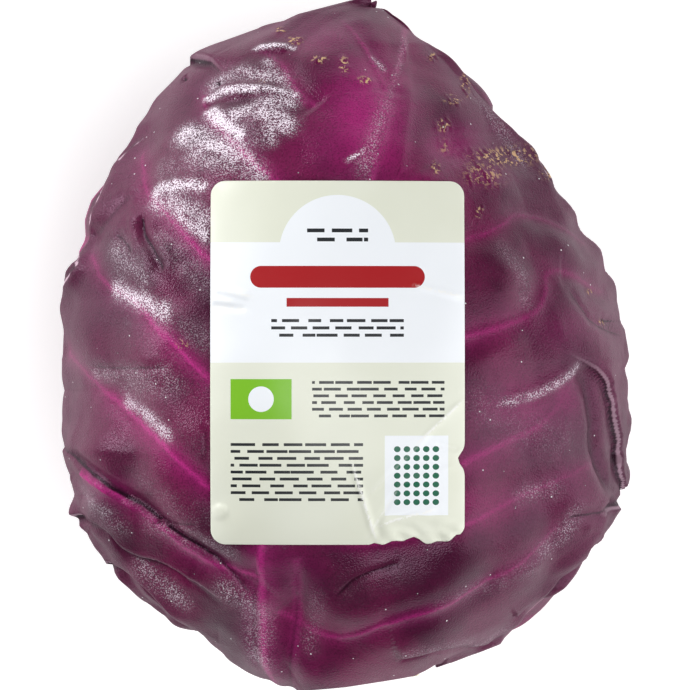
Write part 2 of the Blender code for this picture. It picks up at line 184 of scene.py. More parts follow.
class Nodes:
    """A material's node tree, with short calls for the nodes that the finishes are made from."""

    def __init__(self, name):
        self.material = bpy.data.materials.new(name)
        self.material.use_nodes = True
        self.tree = self.material.node_tree
        self.shader = self.tree.nodes["Principled BSDF"]
        self.place = self.add("ShaderNodeTexCoord").outputs["Object"]

    def add(self, kind, **settings):
        """A new node of that kind with those settings."""
        node = self.tree.nodes.new(kind)
        for key, value in settings.items():
            setattr(node, key, value)
        return node

    def feed(self, socket, value):
        """Links another node's output to the socket, or sets it to a number or a colour."""
        if isinstance(value, bpy.types.NodeSocket):
            self.tree.links.new(value, socket)
        elif isinstance(value, tuple):
            socket.default_value = (*value, 1.0) if len(value) == 3 and socket.type == "RGBA" else value
        else:
            socket.default_value = value

    def math(self, operation, a, b=0.0, c=0.0, clamp=False):
        node = self.add("ShaderNodeMath", operation=operation, use_clamp=clamp)
        for socket, value in zip(node.inputs, (a, b, c)):
            self.feed(socket, value)
        return node.outputs[0]

    def times(self, a, b):
        return self.math("MULTIPLY", a, b)

    def plus(self, a, b, clamp=False):
        return self.math("ADD", a, b, clamp=clamp)

    def minus(self, a, b):
        return self.math("SUBTRACT", a, b)

    def painted(self, layer):
        """The red, green, blue and alpha of a colour attribute."""
        source = self.add("ShaderNodeVertexColor", layer_name=layer)
        split = self.add("ShaderNodeSeparateColor")
        self.feed(split.inputs[0], source.outputs["Color"])
        return (*split.outputs, source.outputs["Alpha"])

    def mapped(self):
        """The two places of the UV map."""
        split = self.add("ShaderNodeSeparateXYZ")
        self.feed(split.inputs[0], self.add("ShaderNodeUVMap", uv_map="places").outputs[0])
        return split.outputs[0], split.outputs[1]

    def mix(self, factor, a, b):
        node = self.add("ShaderNodeMix", data_type="RGBA")
        for socket, value in zip((node.inputs[0], node.inputs[6], node.inputs[7]), (factor, a, b)):
            self.feed(socket, value)
        return node.outputs[2]

    def noise(self, size, detail=2.0, roughness=0.5):
        """Noise whose lumps are about that size in metres."""
        node = self.add("ShaderNodeTexNoise")
        for name, value in (("Scale", 1 / size), ("Detail", detail), ("Roughness", roughness)):
            self.feed(node.inputs[name], value)
        self.feed(node.inputs["Vector"], self.place)
        return node.outputs["Fac"]

    def ramp(self, value, low, high, to_low=0.0, to_high=1.0):
        """The value carried smoothly from between low and high to between to_low and to_high."""
        node = self.add("ShaderNodeMapRange", interpolation_type="SMOOTHSTEP")
        for socket, number in zip(node.inputs, (value, low, high, to_low, to_high)):
            self.feed(socket, number)
        return node.outputs[0]

    def bump(self, height, distance, strength=1.0, under=None):
        """A bump of that height in metres, over another normal if there is one."""
        node = self.add("ShaderNodeBump")
        self.feed(node.inputs["Height"], height)
        self.feed(node.inputs["Distance"], distance)
        self.feed(node.inputs["Strength"], strength)
        if under is not None:
            self.feed(node.inputs["Normal"], under)
        return node.outputs[0]

    def set(self, **values):
        """Feeds the surface shader's sockets, named with _ for a space."""
        for name, value in values.items():
            self.feed(self.shader.inputs[name.replace("_", " ")], value)


DEEP_PURPLE = (0.052, 0.0035, 0.023)
WARM_PURPLE = (0.150, 0.009, 0.058)
VEIN_MAGENTA = (0.520, 0.030, 0.240)
PALE_MARGIN = (0.400, 0.180, 0.260)
DRY_SCAB = (0.620, 0.400, 0.220)
# The crevice colour is painted shade: a near-black laid into creases, under laps, in the grain's pits and
# beside overlapping edges.
PAINTED_SHADE = (0.016, 0.002, 0.009)
# The dusky purple is a painted sheen: a lighter, greyer purple laid towards the leaves' sides.
SIDE_SHEEN_PURPLE = (0.108, 0.026, 0.060)
SHEEN_TINT = (0.80, 0.66, 0.78)
GRAIN = 0.00040
GRAIN_HEIGHT = 0.00013
SPECK = 0.00034
# The bloom colour is a painted highlight: a near-white speckle of wax bloom laid where the gloss catches the
# light.
WAX_HIGHLIGHT = (0.95, 0.85, 0.95)
# The droplet colour is a painted glint: pale dots for the drops of water.
DROPLET_GLINT = (0.76, 0.72, 0.75)
DROPLET_SPACING = 0.0044
DROPLET_RADIUS = 0.00026
GLOSS_TINT = (1.0, 0.66, 0.90)
EDGE_LINE = (0.66, 0.46, 0.56)


def leaf_skin(name, dark, warm, sheen):
    """Waxy leaf skin. The marks on the mesh lay the veins (red), the pale cut margin (green), dry
    scabs (blue) and painted shade in the crevices (alpha) over a purple that drifts between a dark
    and a warm tone and turns to a lighter, greyer purple, a painted sheen, where the places say so.
    The places also lay a pale speckle of wax bloom that is a painted highlight. The edges give a
    painted shadow line beside each overlapping edge and a pale line on its rim, the grain's pits
    get painted shade, and the droplets are painted as pale glints. A fine grain breaks the gloss
    into specks."""
    n = Nodes(name)
    vein, margin, scab, painted_crevice_shade = n.painted("marks")
    signed, near, pale, _ = n.painted("edges")
    # The places: how much pale wax speckle is painted as a highlight, and how much painted sheen.
    wax_highlight, side_sheen = n.mapped()
    drift = n.noise(0.030, 4.0, 0.55)
    grain = n.noise(GRAIN, 1.0, 0.5)
    mottle = n.noise(0.0021, 3.0, 0.6)
    colour = n.mix(n.ramp(drift, 0.36, 0.66), dark, warm)
    # A painted sheen: a lighter, greyer purple towards the sides.
    side_sheen_share = n.plus(side_sheen, n.times(n.minus(drift, 0.5), 1.2), clamp=True)
    colour = n.mix(side_sheen_share, colour, SIDE_SHEEN_PURPLE)
    veined = n.times(vein, n.ramp(mottle, 0.2, 0.7, 1.0, 0.85))
    colour = n.mix(veined, colour, VEIN_MAGENTA)
    # Painted shade in the grain's pits, deeper where the wax highlight is painted.
    shaded_pits = n.times(n.ramp(grain, 0.48, 0.66), n.ramp(wax_highlight, 0.0, 0.5, 0.35, 0.65))
    colour = n.mix(shaded_pits, colour, PAINTED_SHADE)
    # Painted highlight: near-white specks of wax bloom where the places say so.
    wax_highlight = n.times(wax_highlight, n.ramp(n.noise(0.0038, 3.0, 0.6), 0.30, 0.66, 0.70, 1.12))
    specks = n.plus(n.noise(SPECK, 1.0, 0.5), n.times(wax_highlight, 0.16))
    highlighted = n.times(n.ramp(specks, 0.55, 0.70), n.ramp(wax_highlight, 0.02, 0.9, 0.0, 0.92))
    highlighted = n.plus(highlighted, n.times(wax_highlight, 0.08), clamp=True)
    colour = n.mix(highlighted, colour, WAX_HIGHLIGHT)
    dry = n.times(n.ramp(scab, 0.12, 0.8), n.ramp(n.noise(0.0011, 2.0, 0.6), 0.53, 0.59))
    colour = n.mix(dry, colour, DRY_SCAB)
    colour = n.mix(margin, colour, PALE_MARGIN)
    # Painted shade in the crevices.
    colour = n.mix(painted_crevice_shade, colour, PAINTED_SHADE)
    # A painted shadow line on the low side of each overlapping edge, and a pale line on its rim.
    from_shadow_line = n.math("ABSOLUTE", n.plus(signed, 0.35))
    from_pale = n.math("ABSOLUTE", n.minus(signed, 0.25))
    colour = n.mix(n.times(near, n.ramp(from_shadow_line, 0.10, 0.42, 1.0, 0.0)), colour, PAINTED_SHADE)
    pale_line = n.times(n.ramp(from_pale, 0.12, 0.45, 1.0, 0.0), n.times(near, pale))
    colour = n.mix(pale_line, colour, EDGE_LINE)
    # Droplets painted as pale glints, and raised a little.
    drops = n.add("ShaderNodeTexVoronoi")
    n.feed(drops.inputs["Vector"], n.place)
    n.feed(drops.inputs["Scale"], 1 / DROPLET_SPACING)
    far = n.times(drops.outputs["Distance"], DROPLET_SPACING)
    glinting_drops = n.ramp(far, DROPLET_RADIUS * 0.6, DROPLET_RADIUS, 1.0, 0.0)
    colour = n.mix(glinting_drops, colour, DROPLET_GLINT)
    rough = n.ramp(n.noise(0.013, 3.0, 0.6), 0.3, 0.7, 0.19, 0.29)
    facing = n.add("ShaderNodeLayerWeight").outputs["Facing"]
    rough = n.plus(rough, n.times(n.times(facing, facing), 0.45))
    rough = n.plus(rough, n.times(dry, 0.3))
    coarser = n.plus(1.0, n.times(wax_highlight, 1.6))
    fine = n.bump(n.times(grain, coarser), GRAIN_HEIGHT, 0.8)
    raised_scab = n.bump(n.plus(dry, glinting_drops), 0.0004, 0.8, fine)
    n.set(Base_Color=colour, Roughness=rough, Normal=raised_scab, Specular_Tint=GLOSS_TINT)
    n.set(Sheen_Weight=sheen, Sheen_Roughness=0.35, Sheen_Tint=SHEEN_TINT, Specular_IOR_Level=0.25)
    return n.material


HEART_ROWS, HEART_COLUMNS = 110, 150


def closed_rings(rows, columns):
    """Faces of a round body of rings, closed by a fan at its first pole and at its last."""
    ring = np.arange((rows - 1) * columns).reshape(rows - 1, columns)
    a, b = ring[:-1], np.roll(ring[:-1], -1, axis=1)
    d, c = ring[1:], np.roll(ring[1:], -1, axis=1)
    sides = np.stack([a, b, c, a, c, d], axis=-1).reshape(-1, 3)
    first, last = (rows - 1) * columns, (rows - 1) * columns + 1
    low = np.stack([np.roll(ring[0], -1), ring[0], np.full(columns, first)], axis=-1)
    high = np.stack([ring[-1], np.roll(ring[-1], -1), np.full(columns, last)], axis=-1)
    return np.concatenate([sides, low, high])


angles, shares = np.meshgrid(
    np.arange(HEART_COLUMNS) * 2 * math.pi / HEART_COLUMNS, np.arange(1, HEART_ROWS) / HEART_ROWS
)
rings = raised(angles, shares, heart_relief(angles, shares)).reshape(-1, 3)
poles = egg(np.zeros(2), np.array([0.0, 1.0])) + EGG_PLACE
# The heart's places give it a little painted highlight and painted sheen all over.
finish_piece(
    "heart",
    np.concatenate([rings, poles]),
    closed_rings(HEART_ROWS, HEART_COLUMNS),
    leaf_skin("heart leaf", (0.150, 0.030, 0.085), (0.230, 0.060, 0.140), 0.05),
    marks=np.zeros((len(rings) + 2, 4)),
    uv=np.full((len(rings) + 2, 2), 0.3),
)

# The five leaves under the front one: thick at the midrib, quilted between the veins, thin and
# waved at the sides. They grew from the stem one after another, 135 degrees apart, and each
# one lies on those that are further in.
BLADE = 0.0011
MARGIN_BLADE = 0.0005
RIB_HEIGHT = 0.0040
RIB_HALF_WIDTH = 0.0070
RIB_END_HALF_WIDTH = 0.0018
LEAF_START = 0.050
LEAF_TIP_ROW = 0.985
TIP_SHARE = 0.985
MIDRIB_TURN_POWER = 1.8
SIDE_TURN = 30.0
VEIN_BEND = 1.4
TIP_CLOSING_POWER = 10
VEINS = (0.0, 0.045, 0.10, 0.18, 0.28, 0.38, 0.47, 0.56, 0.65, 0.75, 0.86)
STEPS_TO_NEXT_VEIN = (4, 5, 2, 2, 2, 2, 2, 2, 2, 2, 2)
NARROW_SIDE = (
    (80, 0.050), (62, 0.18), (80, 0.385), (87, 0.48), (83, 0.555), (70, 0.64),
    (71, 0.75), (76, 0.85), (74, 0.90), (64, 0.95), (62, 0.972), (62, 0.985),
)
BROAD_SIDE = (
    (78, 0.050), (72, 0.20), (96, 0.46), (97, 0.52), (95, 0.60), (90, 0.625),
    (84, 0.655), (80, 0.675), (76, 0.73), (74, 0.81), (70, 0.90), (70, 0.985),
)
FRONT_ROOT = -30.0
ROOT_STEP = 135.0
SIDE_WAVE_DEGREES = 2.5
SIDE_WAVES = 5.3
MARGIN_WAVES = 7.5
LEAF_GAP = 0.0010
MARGIN_GAP = 0.0003
FLOOR_CLEARANCE = 0.0002
UNDER_LEAF_DEEPER = 0.0008
UNDERNEATH_ANGLE = 26.0
UNDERNEATH_PLACE = 0.46
UNDERNEATH_SHARE = 0.13
UNDER_LEAVES = (
    dict(name="leaf_6", turn=60, breadth=0.84, reach=1.000, quilt=0.0005, ruffle=0.0002, broad=-1),
    dict(name="leaf_5", turn=60, breadth=0.84, reach=0.990, quilt=0.0008, ruffle=0.0005, broad=1),
    dict(name="leaf_4", turn=60, breadth=0.86, reach=0.980, quilt=0.0008, ruffle=0.0006, broad=-1),
    dict(name="leaf_3", turn=60, breadth=0.92, reach=0.970, quilt=0.0018, ruffle=0.0016, broad=1),
    dict(name="leaf_2", turn=60, breadth=0.84, reach=0.955, quilt=0.0018, ruffle=0.0018, broad=-1),
)


class Pile:
    """What lies on the heart so far, as a height on a grid of angles and shares."""

    ANGLES, SHARES, REACH, FILL = 480, 320, 0.0040, 3

    def __init__(self):
        angle = (np.arange(self.ANGLES) + 0.5) * 2 * math.pi / self.ANGLES
        share = (np.arange(self.SHARES) + 0.5) / self.SHARES
        self.heights = heart_relief(angle[None, :], share[:, None])
        spine = egg(np.zeros(self.SHARES), share)
        flank = egg(np.full(self.SHARES, math.pi / 2), share)
        cell = 2 * math.pi * np.abs(flank[:, 0] - spine[:, 0]) / self.ANGLES
        self.round = np.clip(np.ceil(self.REACH / cell), 1, self.ANGLES // 6).astype(int)
        length = np.linalg.norm(np.diff(spine, axis=0), axis=1).mean()
        self.long = int(math.ceil(self.REACH / length))

    def window(self, grid, combine):
        """combine (a maximum or a mean) over the cells within REACH of each."""
        out = np.empty_like(grid)
        for row, reach in enumerate(self.round):
            out[row] = combine([np.roll(grid[row], k) for k in range(-reach, reach + 1)], axis=0)
        padded = np.pad(out, ((self.long, self.long), (0, 0)), mode="edge")
        return combine([padded[k : k + self.SHARES] for k in range(2 * self.long + 1)], axis=0)

    def drape(self, angle, share):
        """Height of a smooth skin that touches what lies there and never cuts it."""
        skin = self.window(self.window(self.heights, np.max), np.mean)
        column = (angle / (2 * math.pi) * self.ANGLES - 0.5) % self.ANGLES
        row = np.clip(share * self.SHARES - 0.5, 0, self.SHARES - 1.001)
        c0, r0 = np.floor(column).astype(int) % self.ANGLES, np.floor(row).astype(int)
        c1 = (c0 + 1) % self.ANGLES
        fc, fr = column - np.floor(column), row - r0
        low = skin[r0, c0] * (1 - fc) + skin[r0, c1] * fc
        high = skin[r0 + 1, c0] * (1 - fc) + skin[r0 + 1, c1] * fc
        return low * (1 - fr) + high * fr

    def add(self, angle, share, height):
        """Lays a grid of heights on the map, filled in between the grid's points."""
        angle, share, height = (self.filled(grid) for grid in (angle, share, height))
        column = np.floor(angle / (2 * math.pi) * self.ANGLES).astype(int) % self.ANGLES
        row = np.clip(np.floor(share * self.SHARES).astype(int), 0, self.SHARES - 1)
        np.maximum.at(self.heights, (row, column), height)

    def filled(self, grid):
        """The grid with FILL straight steps between each two of its rows and columns."""
        for axis in (0, 1):
            count = grid.shape[axis]
            places = np.linspace(0, count - 1, (count - 1) * self.FILL + 1)
            low = np.minimum(places.astype(int), count - 2)
            part = np.expand_dims(places - low, 1 - axis)
            grid = np.take(grid, low, axis) * (1 - part) + np.take(grid, low + 1, axis) * part
        return grid


def eased(x, places, values):
    """A curve through the values at those places that turns smoothly and never overshoots: each
    stretch is a cubic whose end slopes are the harmonic mean of the slopes on both sides."""
    places, values = np.asarray(places, float), np.asarray(values, float)
    step = np.diff(places)
    slope = np.diff(values) / step
    inner = np.zeros(len(places))
    same = slope[:-1] * slope[1:] > 0
    inner[1:-1][same] = 2 * slope[:-1][same] * slope[1:][same] / (slope[:-1] + slope[1:])[same]
    k = np.clip(np.searchsorted(places, x, "right") - 1, 0, len(step) - 1)
    t = np.clip((x - places[k]) / step[k], 0, 1)
    start = values[k] * (1 + 2 * t) * (1 - t) ** 2 + inner[k] * step[k] * t * (1 - t) ** 2
    end = values[k + 1] * (3 - 2 * t) * t**2 - inner[k + 1] * step[k] * t**2 * (1 - t)
    return start + end


def leaf_side(leaf, root, sign, up):
    """Angle and share at the leaf's side, on the left (-1) or the right (1). The side waves."""
    side = BROAD_SIDE if leaf["broad"] == sign else NARROW_SIDE
    stations = VEINS + (1.0,)
    degrees = eased(up, stations, [place[0] for place in side]) * leaf["breadth"]
    share = eased(up, stations, [place[1] for place in side])
    phase = SIDE_WAVES * up + root / 100 + sign / 5
    wave = SIDE_WAVE_DEGREES * np.sin(2 * math.pi * phase) * np.sin(math.pi * up)
    return root + SIDE_TURN + sign * (degrees + wave), LEAF_START + (share - LEAF_START) * leaf["reach"]


def leaf_chart(leaf, root, across, up):
    """Angle and share of the leaf's points. up runs along the midrib from root to tip, and across
    from one side (-1) to the other (1). Each row leaves the midrib as a side vein does, and bends
    up to its place on the leaf's side."""
    midrib_angle = root + leaf["turn"] * up**MIDRIB_TURN_POWER
    midrib_share = LEAF_START + up * (TIP_SHARE * leaf["reach"] - LEAF_START)
    left_angle, left_share = leaf_side(leaf, root, -1, up)
    right_angle, right_share = leaf_side(leaf, root, 1, up)
    side_angle = np.where(across < 0, left_angle, right_angle)
    side_share = np.where(across < 0, left_share, right_share)
    out = np.abs(across)
    angle = midrib_angle + out * (1.0 - up**TIP_CLOSING_POWER) * (side_angle - midrib_angle)
    share = midrib_share + (1.0 - (1.0 - out) ** VEIN_BEND) * (side_share - midrib_share)
    return np.radians(angle), share


def leaf_grid(rows, columns):
    """across and up on a grid whose rows are closer where the side veins' ends are far apart."""
    stations = np.array(VEINS + (LEAF_TIP_ROW,))
    weight = np.concatenate([[0], np.cumsum(STEPS_TO_NEXT_VEIN)])
    up = np.interp(np.linspace(0, weight[-1], rows), weight, stations)
    return np.meshgrid(np.linspace(-1, 1, columns), up)


def crumple(points, wavelength, seed, waves=14):
    """Soft random lumps: the mean of sine waves of about that wavelength in random directions."""
    rng = np.random.default_rng(seed)
    way = rng.normal(size=(waves, 3))
    way *= (2 * math.pi / (wavelength * rng.uniform(0.7, 1.4, waves)) / np.linalg.norm(way, axis=1))[:, None]
    return np.sin(points @ way.T + rng.uniform(0, 2 * math.pi, waves)).sum(-1) / math.sqrt(waves / 2)


def bell(distance, width):
    """1 at no distance, falling off as a bell curve of that width."""
    return np.exp(-((distance / width) ** 2))


def cells(points, count, seed):
    """Distance to the seam between two of the random cells that the surface divides into, as the
    fine veins divide a leaf: the second least distance to a cell's middle, less the least."""
    flat = points.reshape(-1, 3)
    middles = flat[np.random.default_rng(seed).choice(len(flat), count, replace=False)]
    near = np.full(len(flat), 9.0)
    second = np.full(len(flat), 9.0)
    for middle in middles:
        distance = np.sqrt(((flat - middle) ** 2).sum(1))
        second = np.minimum(second, np.maximum(near, distance))
        near = np.minimum(near, distance)
    return (second - near).reshape(points.shape[:-1])


def underneath(angle, share):
    """1 where the head lies on the table, and 0 away from there."""
    turn = np.degrees(np.arccos(np.clip(-np.cos(angle), -1, 1)))
    along = (share - UNDERNEATH_PLACE) / UNDERNEATH_SHARE
    return np.exp(-((turn / UNDERNEATH_ANGLE) ** 4) - along**4)


def blade_faces(rows, columns, stride):
    """Faces of a leaf: a fine outer face, an inner face of every stride-th point, and a rim that
    fans from each stretch of the inner edge to the fine points opposite it."""
    fine = np.arange(rows * columns).reshape(rows, columns)
    low_rows, low_columns = (rows - 1) // stride + 1, (columns - 1) // stride + 1
    coarse = rows * columns + np.arange(low_rows * low_columns).reshape(low_rows, low_columns)

    def both(grid, flip):
        a, b, c, d = grid[:-1, :-1], grid[:-1, 1:], grid[1:, 1:], grid[1:, :-1]
        order = [a, c, b, a, d, c] if flip else [a, b, c, a, c, d]
        return np.stack(order, axis=-1).reshape(-1, 3)

    def edge(grid):
        return np.concatenate([grid[0, :-1], grid[:-1, -1], grid[-1, :0:-1], grid[:0:-1, 0]])

    outer, inner = edge(fine), edge(coarse)
    outer_next, inner_next = np.roll(outer, -1), np.roll(inner, -1)
    near = np.repeat(inner, stride)
    fans = np.stack([outer, near, outer_next], axis=-1)
    closing = np.stack([inner, inner_next, outer_next[stride - 1 :: stride]], axis=-1)
    return np.concatenate([both(fine, False), both(coarse, True), fans, closing])


def eroded(grid, reach):
    """The least of each value's neighbours within reach rows and columns."""
    padded = np.pad(grid, reach, mode="edge")
    rows = np.min([padded[k : k + grid.shape[0]] for k in range(2 * reach + 1)], axis=0)
    return np.min([rows[:, k : k + grid.shape[1]] for k in range(2 * reach + 1)], axis=0)


def leaf_points(angle, share, outer, blade, deeper=0.0, stride=4):
    """A leaf's outer points and its coarse inner ones, a blade's thickness under the lowest of
    their neighbours. Neither goes below the table."""
    inner = (eroded(outer, stride // 2) - blade)[::stride, ::stride]
    top = raised(angle, share, outer)
    under = raised(angle[::stride, ::stride], share[::stride, ::stride], inner)
    top[..., 2] = np.maximum(top[..., 2], FLOOR_CLEARANCE)
    under[..., 2] = np.maximum(under[..., 2], FLOOR_CLEARANCE + MARGIN_BLADE)
    top = off_the_base(top, deeper)
    under = off_the_base(under, deeper + MARGIN_BLADE)
    return np.concatenate([top.reshape(-1, 3), under.reshape(-1, 3)])


def with_inner(grid, stride=4):
    """Values of the outer points followed by those of the coarse inner ones."""
    coarse = grid[::stride, ::stride]
    return np.concatenate([grid.reshape(-1, grid.shape[-1]), coarse.reshape(-1, grid.shape[-1])])


def vein_rows(up, spacing=0.017):
    """Distance in metres to the nearest side vein's row, and 0 on a vein to 1 midway."""
    place = np.interp(up, VEINS + (1.0,), np.arange(len(VEINS) + 1.0))
    return np.abs(place - np.round(place)) * spacing, np.sin(math.pi * (place % 1.0))


def midrib(angle, share, up):
    """The midrib's height over a leaf, a bell that narrows and sinks towards the tip, and how near
    each point is to its middle line (0 to 1)."""
    girth = HEART_RADIUS * np.cos(math.pi * (share - 0.5))
    from_rib = np.abs(angle - angle[:, angle.shape[1] // 2][:, None]) * girth
    half_width = RIB_END_HALF_WIDTH + (RIB_HALF_WIDTH - RIB_END_HALF_WIDTH) * (1 - up) ** 2
    return RIB_HEIGHT * (1 - up) ** 1.5 * bell(from_rib, half_width), bell(from_rib, 0.5 * half_width)


def side_gap(out, start):
    """The gap under a leaf, less at its side than elsewhere."""
    return LEAF_GAP + (MARGIN_GAP - LEAF_GAP) * smooth_step(start, 1.0, out)


def leaf_blade(out):
    """A leaf's thickness, which falls with the square of the way out to its side."""
    return BLADE + (MARGIN_BLADE - BLADE) * out**2


def under_leaf(number, leaf, pile, rows, columns):
    """One wrapper leaf: the drape of what is under it, the swell between its veins, fine cells,
    waved sides, and ribs on its outer face, thick at the root."""
    root = FRONT_ROOT + ROOT_STEP * (len(UNDER_LEAVES) - number)
    across, up = leaf_grid(rows, columns)
    angle, share = leaf_chart(leaf, root, across, up)
    out = np.abs(across)
    loose = 1.0 - underneath(angle, share)
    to_vein, between = vein_rows(up)
    panel = smooth_step(0.03, 0.25, out) * (1 - smooth_step(0.85, 1, out))
    lay = pile.drape(angle, share) + side_gap(out, 0.8)
    points = raised(angle, share, lay)
    seam = cells(points[::3, ::3], 260, 40 + number)
    seam = np.repeat(np.repeat(seam, 3, 0), 3, 1)[:rows, :columns]
    lumps = 0.00040 * crumple(points, 0.022, 50 + number) + 0.00010 * crumple(points, 0.009, 60 + number)
    swell = loose * (leaf["quilt"] * between * panel + leaf["quilt"] / 0.0018 * lumps * panel)
    phase = MARGIN_WAVES * up + 0.3 * np.sign(across) + 0.05 * crumple(points, 0.03, 70 + number)
    ruffle = loose * leaf["ruffle"] * (0.5 + 0.5 * np.sin(2 * math.pi * phase))
    ruffle = ruffle * smooth_step(0.80, 1.0, out) * smooth_step(0.0, 0.05, up)
    rib, on_rib = midrib(angle, share, up)
    vein = loose * 0.0004 * bell(to_vein, 0.0012) * (1 - out)
    blade = leaf_blade(out)
    outer = lay + np.maximum(swell, 0) + ruffle + blade + rib + vein
    pile.add(angle, share, outer)
    marks = np.zeros((*up.shape, 4))
    side_vein = 0.50 * bell(to_vein, 0.0012) * (1 - 0.7 * out)
    marks[..., 0] = np.clip(side_vein + 0.6 * on_rib, 0, 1) + 0.16 * bell(seam, 0.0006) * panel
    marks[..., 1] = smooth_step(0.988, 1.0, out) * 0.8
    # The places: no painted highlight, and a painted sheen that grows towards the sides.
    places = np.stack([0 * out, 0.3 + 0.5 * out], axis=-1)
    deeper = UNDER_LEAF_DEEPER * (len(UNDER_LEAVES) - number)
    return leaf_points(angle, share, outer, blade, deeper), marks, places


pile = Pile()
for number, leaf in enumerate(UNDER_LEAVES):
    rows, columns = (229, 169) if leaf["name"] in ("leaf_2", "leaf_3") else (121, 97)
    leaf_corners, marks, places = under_leaf(number, leaf, pile, rows, columns)
    finish_piece(
        leaf["name"],
        leaf_corners,
        blade_faces(rows, columns, 4),
        leaf_skin(leaf["name"], DEEP_PURPLE, WARM_PURPLE, 0.02),
        marks=with_inner(marks),
        uv=with_inner(places),
    )

# The front leaf: the outermost one, which carries the label. Its midrib runs from the lower
# left to the upper right, its side veins lie in valleys, and its sides fold and ruffle.
# The routes are places in the photograph, in pixels.
FRONT_LEAF = dict(name="leaf_1", turn=90, breadth=1.00, reach=1.000, broad=1)
FRONT_ROWS, FRONT_COLUMNS = 301, 281
RELIEF = 0.0026
VALLEY_DEPTH = 0.00130
VEIN_RIDGE = 0.00022
LAP_GROOVE = 0.0006
SCAB_HEIGHT = 0.00035
FRONT_RUFFLE = 0.0022
ROOT_SWELL = 0.0018
FRILL_REACH = 0.009
LEAST_WAX_HIGHLIGHT = 0.03
WAX_HIGHLIGHT_SPREAD = 1.25
BLUSH = 0.62
UPPER_SIDE = 0.035
UNDER_LABEL = (0.031, 0.044)
UNDER_LABEL_DEPTH = 0.0013
LABEL_LOWEST = 0.08
# A vein: its route, the depth and the width of its valley in mm, its own width in mm, its colour
FRONT_VEINS = (
    (((278, 680), (270, 640), (265, 550), (318, 365), (373, 176), (389, 98), (400, 60), (405, 33)),
     0.8, 7.0, 1.6, 0.8),
    (((318, 112), (302, 100), (282, 69), (264, 56)), 0.8, 4.0, 0.8, 0.5),
    (((389, 98), (364, 51), (343, 25)), 0.6, 3.5, 0.8, 0.6),
    (((360, 216), (310, 200), (266, 174), (246, 156), (228, 138), (206, 112), (205, 97)),
     1.7, 5.0, 0.9, 0.9),
    (((330, 320), (270, 300), (206, 257), (166, 213), (147, 190), (143, 156)), 1.8, 5.5, 1.0, 0.9),
    (((300, 440), (250, 410), (206, 374), (164, 332), (130, 297), (115, 290), (101, 276), (94, 257)),
     1.7, 5.5, 1.1, 1.0),
    (((280, 520), (240, 505), (207, 482), (159, 438), (122, 406), (92, 378), (67, 353)),
     1.6, 6.0, 1.2, 1.0),
    (((265, 570), (220, 559), (191, 545), (163, 519), (134, 497)), 1.4, 5.0, 1.0, 0.7),
    (((363, 205), (380, 190), (430, 160), (449, 155), (480, 152), (515, 165)), 0.7, 3.5, 0.6, 0.25),
    (((340, 285), (400, 262), (468, 240), (493, 231), (514, 218), (537, 221), (563, 233), (584, 244)),
     0.8, 4.0, 0.6, 0.35),
    (((320, 360), (400, 350), (470, 335), (505, 325), (533, 311), (542, 294), (544, 275), (559, 270)),
     1.0, 5.0, 1.2, 0.5),
    (((559, 270), (578, 278), (601, 292)), 0.7, 3.0, 0.6, 0.35),
    (((300, 450), (380, 470), (440, 470), (467, 457), (508, 438), (542, 419), (570, 378)),
     0.9, 6.0, 1.5, 0.5),
    (((285, 520), (360, 540), (462, 520), (499, 502), (549, 480), (588, 460)), 0.9, 5.5, 1.0, 0.45),
    (((275, 600), (340, 627), (400, 609), (449, 594), (474, 579), (511, 559), (549, 525)),
     1.1, 5.0, 0.9, 0.5),
    (((90, 469), (108, 479), (124, 489), (140, 501)), -0.4, 1.3, 0.8, 1.0),
    (((298, 552), (299, 600), (296, 645), (288, 680)), 0.6, 2.4, 2.2, 0.35),
)
# A lap: its route, the height of the step in mm on its left side, how far that falls off in mm,
# and how pale its cut edge is
FRONT_LAPS = (
    (((64, 446), (100, 471), (124, 488), (150, 505), (180, 530), (215, 552), (262, 590)), -1.3, 8.0, 0.0),
    (((62, 485), (84, 510), (110, 520), (135, 543), (170, 558), (198, 574), (232, 590)), 1.4, 7.0, 0.5),
    (((90, 545), (120, 556), (150, 574), (170, 592), (192, 612), (225, 632)), 1.3, 6.0, 0.4),
    (((166, 90), (178, 76), (193, 67), (215, 68), (226, 79)), 1.9, 9.0, 0.2),
    (((588, 512), (616, 494), (608, 470), (609, 440), (603, 400), (592, 372), (577, 360), (560, 352)),
     -1.8, 9.0, 0.35),
    (((395, 645), (420, 640), (445, 635), (482, 630), (510, 628)), 1.3, 7.0, 0.4),
    (((510, 610), (530, 597), (548, 583), (563, 573), (585, 556)), 1.1, 5.0, 0.4),
    (((430, 664), (452, 660), (480, 652), (500, 640)), 1.2, 6.0, 0.3),
    (((148, 138), (132, 154), (115, 175), (103, 200), (92, 230), (88, 244), (84, 261), (75, 288), (65, 328),
      (61, 350)), 0.6, 2.6, 1.0),
    (((480, 92), (493, 107), (508, 128), (529, 157), (544, 181), (563, 212), (586, 240), (607, 282),
      (620, 318)), -0.5, 2.4, 0.8),
)
